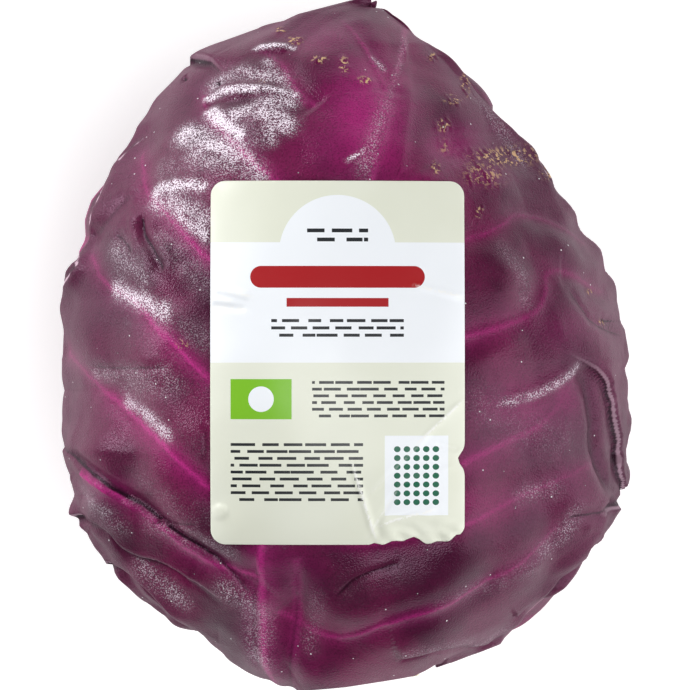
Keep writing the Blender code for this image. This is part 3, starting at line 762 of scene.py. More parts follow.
# A crease: its route, its depth in mm (a ridge if negative) and its width in mm
FRONT_CREASES = (
    (((143, 215), (145, 233), (156, 251), (168, 273)), 1.3, 0.8),
    (((134, 215), (137, 233), (146, 253), (158, 276)), -0.5, 0.9),
    (((153, 215), (156, 235), (167, 251), (178, 270)), -0.5, 1.1),
    (((120, 236), (129, 242), (137, 256)), 0.6, 0.9),
    (((126, 232), (134, 240), (142, 255)), -0.4, 1.0),
    (((94, 239), (108, 224), (120, 209), (133, 196)), 1.0, 2.6),
    (((94, 366), (130, 368), (174, 367)), 0.35, 0.8),
    (((158, 518), (185, 520), (205, 519)), 0.35, 0.7),
    (((210, 99), (225, 94), (243, 93), (270, 96), (292, 100)), -0.9, 1.6),
    (((206, 106), (230, 106), (262, 104)), 0.7, 2.0),
    (((258, 56), (270, 52), (290, 55)), -0.8, 1.5),
    (((158, 190), (180, 187), (206, 188)), -0.7, 1.6),
    (((565, 288), (575, 305), (591, 326), (617, 337)), 0.5, 1.2),
    (((595, 319), (610, 323), (623, 320)), 0.8, 1.2),
    (((577, 366), (586, 400), (590, 440), (593, 462), (604, 490)), 2.0, 2.4),
    (((497, 400), (520, 395), (545, 385), (567, 371), (577, 366)), -0.7, 2.2),
    (((469, 360), (514, 336), (532, 315), (546, 280)), -0.4, 2.5),
    (((560, 515), (575, 512), (590, 510), (605, 498)), 0.7, 1.4),
    (((575, 525), (590, 518), (600, 520)), -0.6, 2.0),
    (((583, 540), (588, 548), (582, 558)), 1.4, 1.6),
    (((543, 597), (553, 596), (558, 603)), 1.0, 1.3),
    (((486, 575), (520, 562), (545, 545)), -0.5, 2.4),
    (((440, 655), (460, 656), (480, 650)), 1.2, 1.6),
    (((380, 616), (430, 601), (460, 584), (488, 573)), -0.4, 2.0),
    (((286, 688), (294, 640), (298, 600), (297, 556)), 0.7, 1.9),
    (((336, 590), (352, 574), (372, 565), (400, 558)), 0.6, 0.7),
    (((262, 560), (258, 600), (262, 640), (272, 676)), 0.5, 1.5),
    (((402, 40), (405, 62), (396, 90), (385, 130), (375, 165)), -0.3, 0.5),
    (((219, 84), (222, 90)), 1.0, 0.7),
    (((188, 82), (190, 88)), 1.0, 0.7),
)
# Dry scabs: a cluster's middle, its half width and half height in pixels, and how dense it is
FRONT_SCABS = (
    (500, 160, 34, 10, 0.9), (480, 178, 24, 16, 0.6), (462, 88, 5, 14, 0.9), (449, 105, 9, 5, 0.9),
    (440, 130, 6, 6, 1.0), (443, 150, 8, 9, 0.5), (433, 172, 5, 7, 0.9), (547, 176, 12, 8, 0.8),
    (281, 35, 5, 3, 1.0), (295, 46, 8, 5, 1.0), (320, 66, 8, 4, 1.0), (344, 72, 5, 10, 0.9),
    (365, 86, 8, 4, 1.0), (185, 345, 8, 7, 0.6), (475, 216, 4, 6, 0.8), (430, 62, 5, 4, 0.9),
    (590, 292, 5, 4, 0.7), (598, 322, 5, 3, 1.0), (262, 88, 8, 3, 0.6), (545, 158, 20, 5, 0.7),
)
# Where the skin is lit magenta by the thick rib under it: middle, half sizes in pixels, strength
FRONT_BLUSHES = (
    (368, 120, 40, 60, 1.05), (345, 150, 40, 30, 0.5), (450, 150, 34, 24, 0.55), (400, 190, 60, 20, 0.35),
    (262, 178, 22, 14, 0.4), (520, 410, 50, 26, 0.35), (290, 560, 26, 20, 0.3), (480, 180, 24, 14, 0.3),
    (478, 500, 50, 16, 0.25), (560, 395, 20, 22, 0.35), (335, 42, 50, 20, 0.40), (378, 90, 22, 46, 0.40),
    (290, 650, 46, 26, 0.22), (118, 485, 22, 10, 0.45), (560, 330, 34, 22, 0.22),
)
# A painted highlight, a pale speckle of wax bloom where the gloss catches the light: its route, its half
# width in mm, how dense it is
FRONT_WAX_HIGHLIGHTS = (
    (((208, 101), (243, 95), (296, 99)), 0.9, 1.1), (((258, 54), (275, 52), (294, 55)), 0.8, 1.1),
    (((218, 88), (245, 78), (280, 84)), 2.6, 0.62), (((268, 66), (280, 82), (292, 98)), 1.6, 0.55),
    (((213, 116), (228, 128), (240, 138)), 1.7, 1.3), (((236, 120), (262, 112), (290, 106)), 2.4, 0.80),
    (((262, 118), (276, 124), (288, 130)), 2.6, 0.85), (((270, 130), (272, 145)), 2.0, 0.60),
    (((238, 128), (262, 140)), 3.6, 0.34), (((190, 140), (215, 146), (236, 154)), 3.0, 0.95),
    (((200, 160), (225, 168), (250, 172)), 3.4, 0.60), (((238, 152), (250, 164), (260, 178)), 2.2, 0.70),
    (((170, 172), (190, 170), (207, 174)), 3.4, 0.36), (((158, 194), (182, 190), (207, 191)), 1.6, 1.0),
    (((160, 200), (182, 210), (206, 222)), 3.0, 0.72), (((178, 215), (194, 228), (207, 238)), 1.5, 0.90),
    (((122, 250), (140, 270), (150, 285)), 3.2, 0.40), (((118, 275), (130, 288)), 3.0, 0.32),
    (((120, 290), (142, 300), (168, 312)), 2.2, 0.90), (((165, 240), (185, 262), (207, 285)), 3.6, 0.30),
    (((165, 318), (190, 330), (207, 342)), 3.4, 0.28), (((135, 330), (165, 355), (205, 385)), 5.0, 0.15),
    (((98, 372), (130, 374), (170, 372)), 2.4, 0.38), (((125, 385), (150, 385), (180, 385)), 4.0, 0.30),
    (((128, 400), (146, 412), (170, 432)), 1.8, 0.75), (((160, 405), (185, 425), (205, 450)), 4.4, 0.16),
    (((150, 478), (170, 492), (205, 515)), 4.6, 0.20), (((160, 520), (200, 535), (230, 548)), 3.6, 0.30),
    (((150, 560), (165, 572), (190, 590)), 2.6, 0.42), (((232, 580), (262, 600), (264, 640)), 3.2, 0.40),
    (((318, 590), (312, 630)), 2.4, 0.26), (((350, 580), (400, 565)), 5.0, 0.12),
    (((362, 176), (372, 150), (384, 110)), 2.2, 0.36), (((347, 167), (362, 158)), 0.5, 0.90),
    (((386, 108), (396, 76), (404, 42)), 1.0, 0.30), (((372, 62), (384, 72)), 0.8, 0.65),
    (((92, 488), (112, 502), (132, 520)), 2.6, 0.30), (((262, 650), (290, 668)), 3.0, 0.22),
    (((497, 402), (520, 396), (545, 386), (575, 367)), 1.1, 0.55),
    (((500, 255), (515, 275), (522, 300)), 3.0, 0.26),
    (((470, 400), (520, 430), (560, 440)), 6.0, 0.18), (((520, 492), (550, 486)), 2.6, 0.30),
    (((535, 545), (556, 532), (568, 510)), 2.6, 0.34), (((440, 590), (490, 578), (530, 556)), 3.4, 0.20),
    (((400, 640), (450, 632), (500, 622)), 2.4, 0.26), (((478, 108), (500, 140), (520, 165)), 2.4, 0.30),
)
# Frills in the leaf's free sides: the route, the height in mm and the length of a fold in mm
FRONT_FRILLS = (
    (((600, 515), (585, 560), (545, 602), (500, 640), (440, 668)), 0.9, 9.0),
    (((628, 350), (624, 420), (612, 490)), 0.6, 8.0),
    (((66, 440), (84, 500), (120, 570), (160, 605), (220, 650)), 0.6, 9.0),
    (((150, 110), (100, 190), (70, 280), (62, 340)), 0.35, 9.0),
)


def seen_place(x, y):
    """The place in the head's frame, seen from above, of a pixel of the photograph."""
    return (x - PHOTO_MIDDLE) * PIXEL, (PHOTO_FOOT - y) * PIXEL + float(cad_low[1])


def route_on(points, route):
    """The route as points on the leaf: a curve through its pixels, about 1.5 mm a step, each put
    at the leaf's nearest point seen from above."""
    x, y = seen_place(*np.array(route, float).T)
    length = np.concatenate([[0], np.cumsum(np.hypot(np.diff(x), np.diff(y)))])
    places = np.linspace(0, length[-1], max(3, int(length[-1] / 0.0015)))
    x, y = eased(places, length, x), eased(places, length, y)
    top = points[points[:, 2] > UPPER_SIDE]
    nearest = [np.argmin((top[:, 0] - px) ** 2 + (top[:, 1] - py) ** 2) for px, py in zip(x, y)]
    return np.stack([x, y, top[nearest, 2]], axis=-1)


def near_route(points, route):
    """For each point its distance to the route, how far along the route that is (0 to 1), and
    which side of it the point lies on seen from above (1 on the left)."""
    curve = route_on(points, route)
    best = np.full(len(points), 9.0)
    along = np.zeros(len(points))
    side = np.zeros(len(points))
    for k, (a, b) in enumerate(zip(curve[:-1], curve[1:])):
        step = b - a
        from_a = points - a
        t = np.clip(from_a @ step / (step @ step), 0, 1)
        distance = np.linalg.norm(from_a - t[:, None] * step, axis=1)
        closer = distance < best
        best[closer] = distance[closer]
        along[closer] = ((k + t) / (len(curve) - 1))[closer]
        turn = step[0] * from_a[:, 1] - step[1] * from_a[:, 0]
        side[closer] = np.sign(turn)[closer]
    return best, along, side


def tapered(along, start, end, drop=1.0):
    """1 along a route, rising from 0 over its start and falling by that drop from its end on."""
    return smooth_step(0, start, along) * (1 - drop * smooth_step(end, 1, along))


def near_spot(points, spot):
    """How near each point is to an oval spot of the photograph: 1 in its middle, 0 far off."""
    x, y = seen_place(spot[0], spot[1])
    away = ((points[:, 0] - x) / (spot[2] * PIXEL)) ** 2 + ((points[:, 1] - y) / (spot[3] * PIXEL)) ** 2
    return np.exp(-away) * smooth_step(UPPER_SIDE, UPPER_SIDE + 0.020, points[:, 2])


across, up = leaf_grid(FRONT_ROWS, FRONT_COLUMNS)
front_angle, front_share = leaf_chart(FRONT_LEAF, FRONT_ROOT, across, up)
out = np.abs(across)
lay = pile.drape(front_angle, front_share) + side_gap(out, 0.85)
base = raised(front_angle, front_share, lay + BLADE + 0.0015)
flat = base.reshape(-1, 3)
relief = np.full(len(flat), RELIEF)
vein_mark, scab_mark, painted_shade_mark = np.zeros((3, len(flat)))
for route, depth, valley, width, strength in FRONT_VEINS:
    distance, along, side = near_route(flat, route)
    ends = tapered(along, 0.06, 0.5, 0.6)
    relief -= VALLEY_DEPTH * depth * bell(distance, 0.001 * valley) * (0.4 + 0.6 * ends)
    relief += VEIN_RIDGE * bell(distance, 0.0009 * width) * ends
    vein_mark = np.maximum(vein_mark, strength * ends * bell(distance, 0.00075 * width))
    vein_mark = np.maximum(vein_mark, 0.40 * strength * ends * bell(distance, 0.0028 * width))
edge_gap = np.full(len(flat), 9.0)
edge_lines = np.zeros((len(flat), 4))


def note_edge(distance, signed, ends, pale):
    """Keeps the nearest edge's signed distance in mm, how near it is, and how pale its rim is; the skin
    paints a shadow line on the edge's low side from these, and a pale line on its rim.
    """
    closer = (distance < edge_gap) & (ends > 0.05)
    near = ends * (1 - smooth_step(0.0010, 0.0018, distance))
    edge_gap[closer] = distance[closer]
    edge_lines[closer, 0] = 1000 * np.clip(signed, -0.002, 0.002)[closer]
    edge_lines[closer, 1] = near[closer]
    edge_lines[closer, 2] = pale


for route, height, fall, pale in FRONT_LAPS:
    distance, along, side = near_route(flat, route)
    signed = distance * side * np.sign(height)
    ends = tapered(along, 0.12, 0.7)
    step = smooth_step(-0.0007, 0.0009, signed) * bell(np.maximum(signed, 0), 0.001 * fall)
    relief += 0.001 * abs(height) * ends * step
    relief -= LAP_GROOVE * ends * bell(signed + 0.0012, 0.0010)
    # Painted shade on the low side of the step, and the edge kept for a painted shadow line.
    dark = min(0.8, 0.7 * abs(height)) * ends * bell(signed + 0.0008, 0.0006)
    painted_shade_mark = np.maximum(painted_shade_mark, dark)
    note_edge(distance, signed, ends * min(1, 1.4 * abs(height)), pale)
for route, depth, width in FRONT_CREASES:
    distance, along, side = near_route(flat, route)
    ends = tapered(along, 0.2, 0.8)
    relief -= 0.001 * depth * ends * bell(distance, 0.001 * width)
    # A crease gets painted shade along it, and a narrow one also a painted shadow line beside it.
    if depth > 0:
        dark = min(depth, 1) * 0.6 * ends * bell(distance, 0.0004 * max(depth, 1) ** 1.5)
        painted_shade_mark = np.maximum(painted_shade_mark, dark)
        if width < 1.5:
            note_edge(distance, distance * side - 0.00035, ends * min(depth, 1), 0.0)
for spot in FRONT_SCABS:
    scab_mark = np.maximum(scab_mark, spot[4] * near_spot(flat, spot))
for spot in FRONT_BLUSHES:
    vein_mark = np.maximum(vein_mark, BLUSH * spot[4] * near_spot(flat, spot))
# The painted highlight: a faint share everywhere, more along each route.
wax_highlight_mark = np.full(len(flat), LEAST_WAX_HIGHLIGHT)
for route, width, strength in FRONT_WAX_HIGHLIGHTS:
    distance, along, side = near_route(flat, route)
    wax_highlight_mark = np.maximum(wax_highlight_mark, strength * bell(distance, 0.001 * WAX_HIGHLIGHT_SPREAD * width))
for number, (route, height, length) in enumerate(FRONT_FRILLS):
    distance, along, side = near_route(flat, route)
    frill = np.clip(crumple(flat, 0.001 * length, 30 + number), -1.2, 1.2)
    relief += 0.001 * height * frill * bell(distance, FRILL_REACH)
# Painted sheen: a lighter, greyer purple towards the leaf's sides.
side_sheen_mark = smooth_step(0.25, 0.9, out).ravel() * 0.8 - 0.1
relief += 0.00030 * crumple(flat, 0.024, 1) + 0.00005 * crumple(flat, 0.009, 2)
relief += SCAB_HEIGHT * scab_mark * np.clip(crumple(flat, 0.0022, 3), 0, 2)
relief = relief.reshape(up.shape)
free = smooth_step(0.0, 0.05, up) * smooth_step(0.82, 1.0, out)
wave = 0.5 + 0.5 * np.sin(2 * math.pi * (MARGIN_WAVES * up + 0.3 * np.sign(across)))
ruffle = FRONT_RUFFLE * wave * free
relief = np.maximum(relief, 0.0) * (1 - smooth_step(0.93, 1.0, out))
rib, _ = midrib(front_angle, front_share, up)
blade = leaf_blade(out)
root_swell = ROOT_SWELL * (1 - smooth_step(0.02, 0.16, up)) * (1 - smooth_step(0.6, 1.0, out))
front_outer = lay + blade + relief + ruffle + rib + root_swell
margin_mark = smooth_step(0.990, 1.0, out).ravel() * 0.8
marks = np.stack([vein_mark, margin_mark, scab_mark, painted_shade_mark], axis=-1).reshape(*up.shape, 4)
label_corners = cad_points("label")
label_middle = (label_corners.min(0) + label_corners.max(0)) / 2


def label_terms(x, y):
    """The terms of the paper's bend: powers of the place on the label."""
    p, q = (x - label_middle[0]) / 0.08, (y - label_middle[1]) / 0.08
    return np.stack([np.ones_like(p), p, q, p * q, p**2, q**2, p**2 * q, q**3, p**3, p**4], axis=-1)


upper_side = label_corners[: len(label_corners) // 2]
if upper_side[:, 2].mean() < label_corners[:, 2].mean():
    upper_side = label_corners[len(label_corners) // 2 :]
label_bend = np.linalg.lstsq(label_terms(upper_side[:, 0], upper_side[:, 1]), upper_side[:, 2], rcond=None)[0]


def label_height(x, y):
    """Height of the paper's upper side over a place of the table."""
    return label_terms(x, y) @ label_bend


front_points = leaf_points(front_angle, front_share, front_outer, blade)
from_label = np.abs(front_points[:, :2] - label_middle[:2])
under_label = (from_label < UNDER_LABEL).all(axis=1) & (front_points[:, 2] > LABEL_LOWEST)
label_under = label_height(front_points[:, 0], front_points[:, 1]) - UNDER_LABEL_DEPTH
sunk = np.minimum(front_points[:, 2], label_under)
front_points[under_label, 2] = sunk[under_label]
finish_piece(
    "leaf_1",
    front_points,
    blade_faces(FRONT_ROWS, FRONT_COLUMNS, 4),
    leaf_skin("front leaf", DEEP_PURPLE, WARM_PURPLE, 0.02),
    marks=with_inner(marks),
    uv=with_inner(np.stack([wax_highlight_mark, side_sheen_mark], axis=-1).reshape(*up.shape, 2)),
    edges=with_inner(edge_lines.reshape(*up.shape, 4)),
)

# The stem: the cut stump, cream and fibrous, with the torn roots of the leaves that were
# trimmed off it.
STEM_RADIUS = 0.0126
STEM_HIDDEN = 0.0030
STEM_RINGS, STEM_SPOKES = 60, 120
STUB_ROOT = 0.020
STUB_THICKNESS = 0.0022
STUB_EDGE = 0.0005
STUB_GAP = 0.0004
STUB_DEEPER = 0.0010
STUB_ROWS, STUB_COLUMNS = 49, 61
STUBS = (
    dict(angle=-95.0, half_angle=18.0, end=0.135),
    dict(angle=125.0, half_angle=20.0, end=0.090),
    dict(angle=180.0, half_angle=24.0, end=0.120),
)


def stem_profile(along):
    """Radius and depth of the stump's outline, from its hidden end (0) over its side and cut rim
    to the middle of the cut (1): straight, then a quarter round, then flat to the middle."""
    side = np.clip(along / 0.45, 0, 1)
    turn = np.clip((along - 0.45) / 0.10, 0, 1) * math.pi / 2
    face = np.clip((along - 0.55) / 0.45, 0, 1)
    edge = 0.0011
    radius = (STEM_RADIUS - edge + edge * np.cos(turn)) * (1 - face)
    depth = side * (1 - edge / STEM_LENGTH) + np.sin(turn) * edge / STEM_LENGTH
    return radius, depth


def stem_points():
    """The stump: its outline turned round the head's axis, a little oval and ridged, with saw
    marks, a soft hollow in the middle and cracks that run out from it on the cut."""
    turn, along = np.meshgrid(
        np.arange(STEM_SPOKES) * 2 * math.pi / STEM_SPOKES, np.linspace(0.02, 0.985, STEM_RINGS)
    )
    radius, depth = stem_profile(along)
    share = radius / STEM_RADIUS
    cut = smooth_step(0.55, 0.65, along)
    radius = radius * (1 + 0.02 * np.cos(2 * turn + 0.6) + 0.012 * np.cos(9 * turn) * (1 - cut))
    hollow = 0.0005 * bell(share, 0.35) + 0.00012 * np.cos(70 * share + 3 * turn)
    crack = 0.0005 * bell(np.sin(2.5 * turn + 4 * share), 0.10) * share * (1 - share)
    depth = stem_foot - STEM_LENGTH * depth + cut * (hollow + 2 * crack)
    x = stem_pole[0] + radius * np.sin(turn)
    return np.stack([x, depth, stem_pole[2] + radius * np.cos(turn)], axis=-1), cut


stem_corners = cad_points("stem")
stem_end = stem_corners[:, 1].min()
stem_foot = stem_pole[1] - LEAF_GAP
STEM_LENGTH = stem_foot - stem_end - STEM_HIDDEN
pile.add(front_angle, front_share, front_outer)
rings, cut = stem_points()
stem_pieces = [rings.reshape(-1, 3), rings[0].mean(0)[None], rings[-1].mean(0)[None]]
stem_faces = [closed_rings(STEM_RINGS + 1, STEM_SPOKES)[:, ::-1]]
stem_marks = [np.zeros((rings.size // 3 + 2, 4))]
stem_marks[0][: cut.size, 0] = cut.ravel()
for number, stub in enumerate(STUBS):
    across, up = np.meshgrid(np.linspace(-1, 1, STUB_COLUMNS), np.linspace(0, 1, STUB_ROWS))
    ragged = 0.98 - 0.35 * np.abs(across) ** 2 + 0.03 * np.cos(5 * across + stub["angle"])
    ragged += 0.018 * np.sin(17 * across + number) + 0.010 * np.sin(41 * across + 2 * number)
    share = STUB_ROOT + (stub["end"] - STUB_ROOT) * up * ragged
    angle = np.radians(stub["angle"] + across * stub["half_angle"] * (1 - 0.35 * up))
    ridge = 0.0002 * np.cos(26 * across + 3 * up) * (1 - up)
    thick = STUB_THICKNESS * (1 - 0.75 * up) * (1 - 0.7 * np.abs(across) ** 3)
    outer = pile.drape(angle, share) + STUB_GAP + np.maximum(thick + ridge, STUB_EDGE)
    stem_faces.append(blade_faces(STUB_ROWS, STUB_COLUMNS, 4) + sum(map(len, stem_pieces)))
    stem_pieces.append(leaf_points(angle, share, outer, STUB_GAP, STUB_DEEPER))
    torn = np.zeros((*up.shape, 4))
    torn[..., 1] = smooth_step(0.75, 1.0, up)
    stem_marks.append(with_inner(torn))

n = Nodes("cut stem")
on_cut, on_tear, _, _ = n.painted("marks")
fibre = n.noise(0.0012, 4.0, 0.6)
stain = n.noise(0.006, 3.0, 0.6)
colour = n.mix(n.ramp(fibre, 0.3, 0.7), (0.78, 0.74, 0.54), (0.60, 0.50, 0.29))
colour = n.mix(n.times(on_cut, n.ramp(stain, 0.4, 0.7)), colour, (0.50, 0.34, 0.16))
colour = n.mix(n.times(on_tear, n.ramp(fibre, 0.3, 0.6)), colour, (0.42, 0.24, 0.11))
n.set(Base_Color=colour, Roughness=0.6, Subsurface_Weight=0.2, Subsurface_Scale=0.002)
n.set(Normal=n.bump(fibre, 0.0003, 0.8))
finish_piece(
    "stem", np.concatenate(stem_pieces), np.concatenate(stem_faces), n.material,
    marks=np.concatenate(stem_marks),
)

# The label: a sheet of coated paper stuck on the front leaf. It bridges the dips between the
# veins, is creased and worn where it bends over the head, and its lower right corner is rucked.
# Its print is plain: white panels, red bars, a green block with a disc, dark green dots, and
# dashes for the small print.
LABEL_WIDTH = 0.0585
LABEL_LENGTH = 0.0838
LABEL_CORNER = 0.0034
LABEL_COLUMNS, LABEL_ROWS = 181, 253
PAPER = 0.00018
# A crease: where it starts and ends on the label (0 to 1 each way), height and width in mm
LABEL_CREASES = (
    ((0.00, 0.705), (0.17, 0.680), 0.60, 0.9), ((0.00, 0.655), (0.15, 0.645), -0.55, 0.8),
    ((0.80, 0.712), (1.00, 0.680), 0.50, 0.9), ((0.00, 0.675), (0.10, 0.664), 0.30, 0.7),
    ((0.555, 0.230), (0.655, 0.000), 0.55, 0.7), ((0.60, 0.12), (0.86, 0.30), 0.25, 0.6),
    ((0.655, 0.05), (0.90, 0.10), 0.45, 1.0), ((0.62, 0.02), (0.74, 0.16), -0.30, 0.8),
    ((0.80, 0.27), (1.00, 0.40), 0.35, 0.8), ((0.18, 0.60), (0.45, 0.63), 0.12, 1.4),
    ((0.88, 0.28), (0.99, 0.26), -0.25, 0.7), ((0.72, 0.16), (0.98, 0.22), 0.22, 0.8),
)


def corner_drawn_in(x, y, width, length):
    """Each corner's square of points drawn in to a quarter disc: x turns into x times the root of
    1 less half of y squared, and y likewise."""
    u = np.maximum(np.abs(x) - (width / 2 - LABEL_CORNER), 0) / LABEL_CORNER
    v = np.maximum(np.abs(y) - (length / 2 - LABEL_CORNER), 0) / LABEL_CORNER
    return (
        x + np.sign(x) * LABEL_CORNER * (u * np.sqrt(1 - v * v / 2) - u),
        y + np.sign(y) * LABEL_CORNER * (v * np.sqrt(1 - u * u / 2) - v),
    )


def segment_distance(u, v, start, end):
    """Distance in metres on the label to a straight crease, and how far along it (0 to 1)."""
    ax, ay = start[0] * LABEL_WIDTH, start[1] * LABEL_LENGTH
    bx, by = end[0] * LABEL_WIDTH - ax, end[1] * LABEL_LENGTH - ay
    px, py = u * LABEL_WIDTH - ax, v * LABEL_LENGTH - ay
    along = np.clip((px * bx + py * by) / (bx * bx + by * by), 0, 1)
    return np.hypot(px - along * bx, py - along * by), along


u, v = np.meshgrid(np.linspace(0, 1, LABEL_COLUMNS), np.linspace(0, 1, LABEL_ROWS))
x, y = corner_drawn_in((u - 0.5) * LABEL_WIDTH, (v - 0.5) * LABEL_LENGTH, LABEL_WIDTH, LABEL_LENGTH)
rucked = smooth_step(0.62, 0.68, u) * (1 - smooth_step(0.0, 0.10, v))
y = y + rucked * (0.0009 + 0.0006 * np.sin(34 * u) + 0.0004 * np.sin(71 * u + 1.0))
torn = smooth_step(0.93, 1.0, u) * bell(v - 0.235, 0.022)
x = x - 0.0016 * torn
paper = label_height(x + label_middle[0], y + label_middle[1]) - 0.0002
worn_mark = np.zeros(u.shape)
for start_place, end_place, height, width in LABEL_CREASES:
    distance, along = segment_distance(u, v, start_place, end_place)
    fade = 1 - smooth_step(0.6, 1.0, np.abs(along - 0.5) * 2) * 0.8
    paper = paper + 0.001 * height * fade * bell(distance, 0.001 * width) - 0.00004
    worn_mark = np.maximum(worn_mark, smooth_step(0.2, 0.4, abs(height)) * fade * bell(distance, 0.0003))
blister_far = np.hypot((u - 0.036) / 0.030, (v - 0.09) / 0.020)
paper = paper + 0.0007 * np.exp(-(blister_far**4))
flat_place = np.stack([x, y, 0 * x], axis=-1)
paper = paper + 0.00010 * crumple(flat_place, 0.014, 90) + 0.00025 * rucked * crumple(flat_place, 0.003, 91)
edge = np.minimum(np.minimum(u, 1 - u) * LABEL_WIDTH, np.minimum(v, 1 - v) * LABEL_LENGTH)
paper = paper - 0.0003 * np.exp(-edge / 0.0015)
paper = np.minimum(paper, cad_high[2] - 0.00005)
top = np.stack([x + label_middle[0], y + label_middle[1], paper], axis=-1)
under = top[::4, ::4] - np.array([0, 0, PAPER + 0.00012])
label_uv = np.stack([u, v], axis=-1)

n = Nodes("label paper")
across_label, up_label = n.mapped()


def block(middle, half):
    """1 inside a rectangle of the label, 0 outside it."""
    inside = n.math("COMPARE", across_label, middle[0], half[0])
    return n.times(inside, n.math("COMPARE", up_label, middle[1], half[1]))


def disc(middle, radius):
    """1 inside a disc of the label, which is LABEL_LENGTH / LABEL_WIDTH times as long as wide."""
    dx = n.minus(across_label, middle[0])
    dy = n.times(n.minus(up_label, middle[1]), LABEL_LENGTH / LABEL_WIDTH)
    far = n.math("SQRT", n.plus(n.times(dx, dx), n.times(dy, dy)))
    return n.math("LESS_THAN", far, radius)


def in_cells(low, high, columns, rows):
    """The place in a rectangle of the label, counted in its columns and in its rows, and 1 inside."""
    across = n.times(n.minus(across_label, low[0]), columns / (high[0] - low[0]))
    along = n.times(n.minus(up_label, low[1]), rows / (high[1] - low[1]))
    middle = ((low[0] + high[0]) / 2, (low[1] + high[1]) / 2)
    return across, along, block(middle, ((high[0] - low[0]) / 2, (high[1] - low[1]) / 2))


def dashes(low, high, lines, words):
    """Rows of short dashes of uneven length inside a rectangle, in place of small print."""
    word, row, inside = in_cells(low, high, words, lines)
    number = n.math("FLOOR", row)
    word = n.plus(word, n.times(number, 0.37))
    cell = n.add("ShaderNodeCombineXYZ")
    n.feed(cell.inputs[0], n.math("FLOOR", word))
    n.feed(cell.inputs[1], number)
    random = n.add("ShaderNodeTexWhiteNoise", noise_dimensions="2D")
    n.feed(random.inputs["Vector"], cell.outputs[0])
    line = n.math("COMPARE", n.math("FRACT", row), 0.5, 0.21)
    inked = n.math("GREATER_THAN", n.math("FRACT", word), n.times(random.outputs[0], 0.42))
    return n.times(n.times(line, inked), inside)


def dots(low, high, columns, rows, radius):
    """An even grid of round dots inside a rectangle. The radius is a share of a cell."""
    across, along, inside = in_cells(low, high, columns, rows)
    dx, dy = (n.minus(n.math("FRACT", place), 0.5) for place in (across, along))
    far = n.plus(n.times(dx, dx), n.times(dy, dy))
    return n.times(n.math("LESS_THAN", far, radius * radius), inside)


fibres = n.noise(0.0004, 2.0, 0.5)
colour = n.mix(n.ramp(n.noise(0.02, 2.0), 0.3, 0.7), (0.740, 0.760, 0.645), (0.765, 0.785, 0.680))
white, ink, red = (0.86, 0.89, 0.93), (0.020, 0.022, 0.026), (0.38, 0.012, 0.016)
green, deep_green = (0.20, 0.50, 0.020), (0.008, 0.120, 0.065)
colour = n.mix(block((0.50, 0.665), (0.50, 0.165)), colour, white)
colour = n.mix(disc((0.50, 0.80), 0.23), colour, white)
for middle, half in (((0.50, 0.735), (0.30, 0.030)), ((0.50, 0.665), (0.20, 0.012))):
    colour = n.mix(block(middle, half), colour, red)
for middle in ((0.20, 0.735), (0.80, 0.735)):
    colour = n.mix(disc(middle, 0.043), colour, red)
colour = n.mix(dashes((0.38, 0.825), (0.62, 0.875), 2, 2.2), colour, ink)
colour = n.mix(dashes((0.24, 0.565), (0.76, 0.625), 3, 6.0), colour, ink)
colour = n.mix(block((0.20, 0.40), (0.12, 0.055)), colour, green)
colour = n.mix(disc((0.20, 0.40), 0.050), colour, white)
colour = n.mix(dashes((0.40, 0.345), (0.92, 0.455), 6, 7.0), colour, ink)
colour = n.mix(dashes((0.08, 0.115), (0.60, 0.285), 9, 5.6), colour, ink)
colour = n.mix(block((0.81, 0.19), (0.125, 0.110)), colour, white)
colour = n.mix(dots((0.715, 0.105), (0.905, 0.275), 5, 7, 0.34), colour, deep_green)
flaked = n.times(n.painted("marks")[0], n.ramp(n.noise(0.0007, 2.0, 0.6), 0.40, 0.50))
colour = n.mix(flaked, colour, (0.90, 0.90, 0.88))
n.set(Base_Color=colour, Roughness=n.ramp(fibres, 0.3, 0.7, 0.36, 0.44), Specular_IOR_Level=0.4)
n.set(Normal=n.bump(fibres, 0.00002, 0.5))
finish_piece(
    "label",
    np.concatenate([top.reshape(-1, 3), under.reshape(-1, 3)]),
    blade_faces(LABEL_ROWS, LABEL_COLUMNS, 4),
    n.material,
    marks=with_inner(np.stack([worn_mark] * 4, axis=-1)),
    uv=with_inner(label_uv),
)

# The table: a plain white one, lit evenly.
FLOOR_SIZE = 6.0
floor_mesh = bpy.data.meshes.new("table")
reach = FLOOR_SIZE / 2
floor_corners = [(-reach, -reach, 0), (reach, -reach, 0), (reach, reach, 0), (-reach, reach, 0)]
floor_mesh.from_pydata(floor_corners, [], [(0, 1, 2, 3)])
floor = bpy.data.objects.new("table", floor_mesh)
bpy.context.collection.objects.link(floor)
n = Nodes("white table")
n.set(Base_Color=(0.92, 0.92, 0.92), Roughness=0.8, Emission_Color=(1.0, 1.0, 1.0), Emission_Strength=0.44)
floor_mesh.materials.append(n.material)

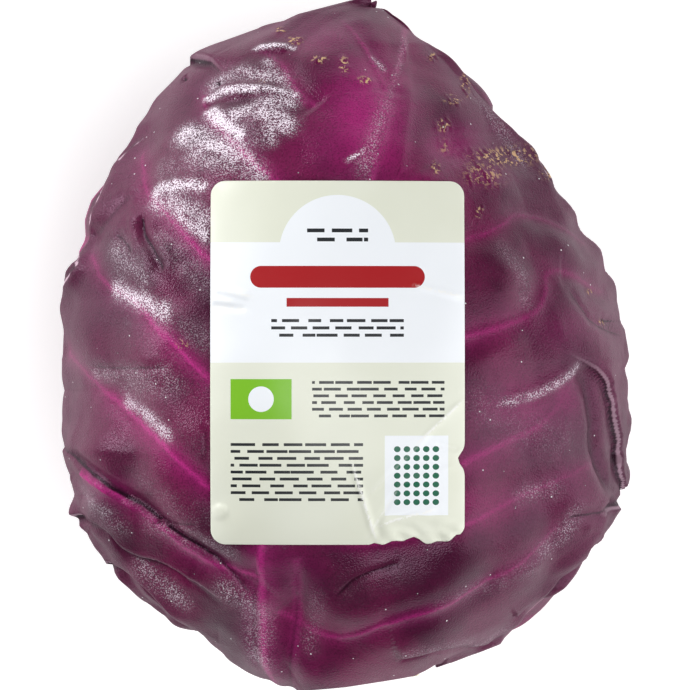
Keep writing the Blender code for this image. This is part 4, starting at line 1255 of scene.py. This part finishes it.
# The light: two small soft boxes low at the left and the top left, a broad one at the right, a
# large one overhead, and a dim room. A box: its name, direction, distance, size and power.
HEAD_MIDDLE = (0.0, 0.0, 0.06)
SOFT_BOXES = (
    ("key", (-0.95, 0.30, 0.27), 1.2, 0.34, 5.6),
    ("top left", (-0.60, 0.80, 0.22), 1.2, 0.34, 5.6),
    ("fill", (1.0, -0.15, 0.34), 1.3, 1.1, 9.4),
    ("overhead", (0.10, -0.16, 1.0), 1.6, 1.0, 18.0),
)
ROOM_LIGHT = 0.06


def soft_box(name, direction, distance, size, power):
    """A square light at that distance in that direction, turned to the head."""
    data = bpy.data.lights.new(name, "AREA")
    data.shape = "SQUARE"
    data.size = size
    data.energy = power
    lamp = bpy.data.objects.new(name, data)
    way = np.array(direction, float)
    way /= np.linalg.norm(way)
    lamp.location = np.array(HEAD_MIDDLE) + distance * way
    lamp.rotation_mode = "QUATERNION"
    lamp.rotation_quaternion = Vector(way).to_track_quat("Z", "Y")
    bpy.context.collection.objects.link(lamp)


for box in SOFT_BOXES:
    soft_box(*box)
world = bpy.data.worlds.new("studio")
world.use_nodes = True
world.node_tree.nodes["Background"].inputs[0].default_value = (1.0, 1.0, 1.0, 1.0)
world.node_tree.nodes["Background"].inputs[1].default_value = ROOM_LIGHT
bpy.context.scene.world = world

# The camera: straight above, far off with a long lens, the tip of the head at the top.
CAMERA_HEIGHT = 2.5
WIDEST_HEIGHT = 0.059
PHOTO_SIDE = 690
SENSOR = 36.0
camera_data = bpy.data.cameras.new("camera")
camera_data.sensor_width = SENSOR
camera_data.lens = SENSOR * (CAMERA_HEIGHT - WIDEST_HEIGHT) / (PHOTO_SIDE * PIXEL)
camera = bpy.data.objects.new("camera", camera_data)
middle_x, middle_y = seen_place(PHOTO_SIDE / 2, PHOTO_SIDE / 2)
camera.location = (middle_x, middle_y, CAMERA_HEIGHT)
bpy.context.collection.objects.link(camera)
bpy.context.scene.camera = camera
bpy.context.scene.view_settings.view_transform = "Standard"
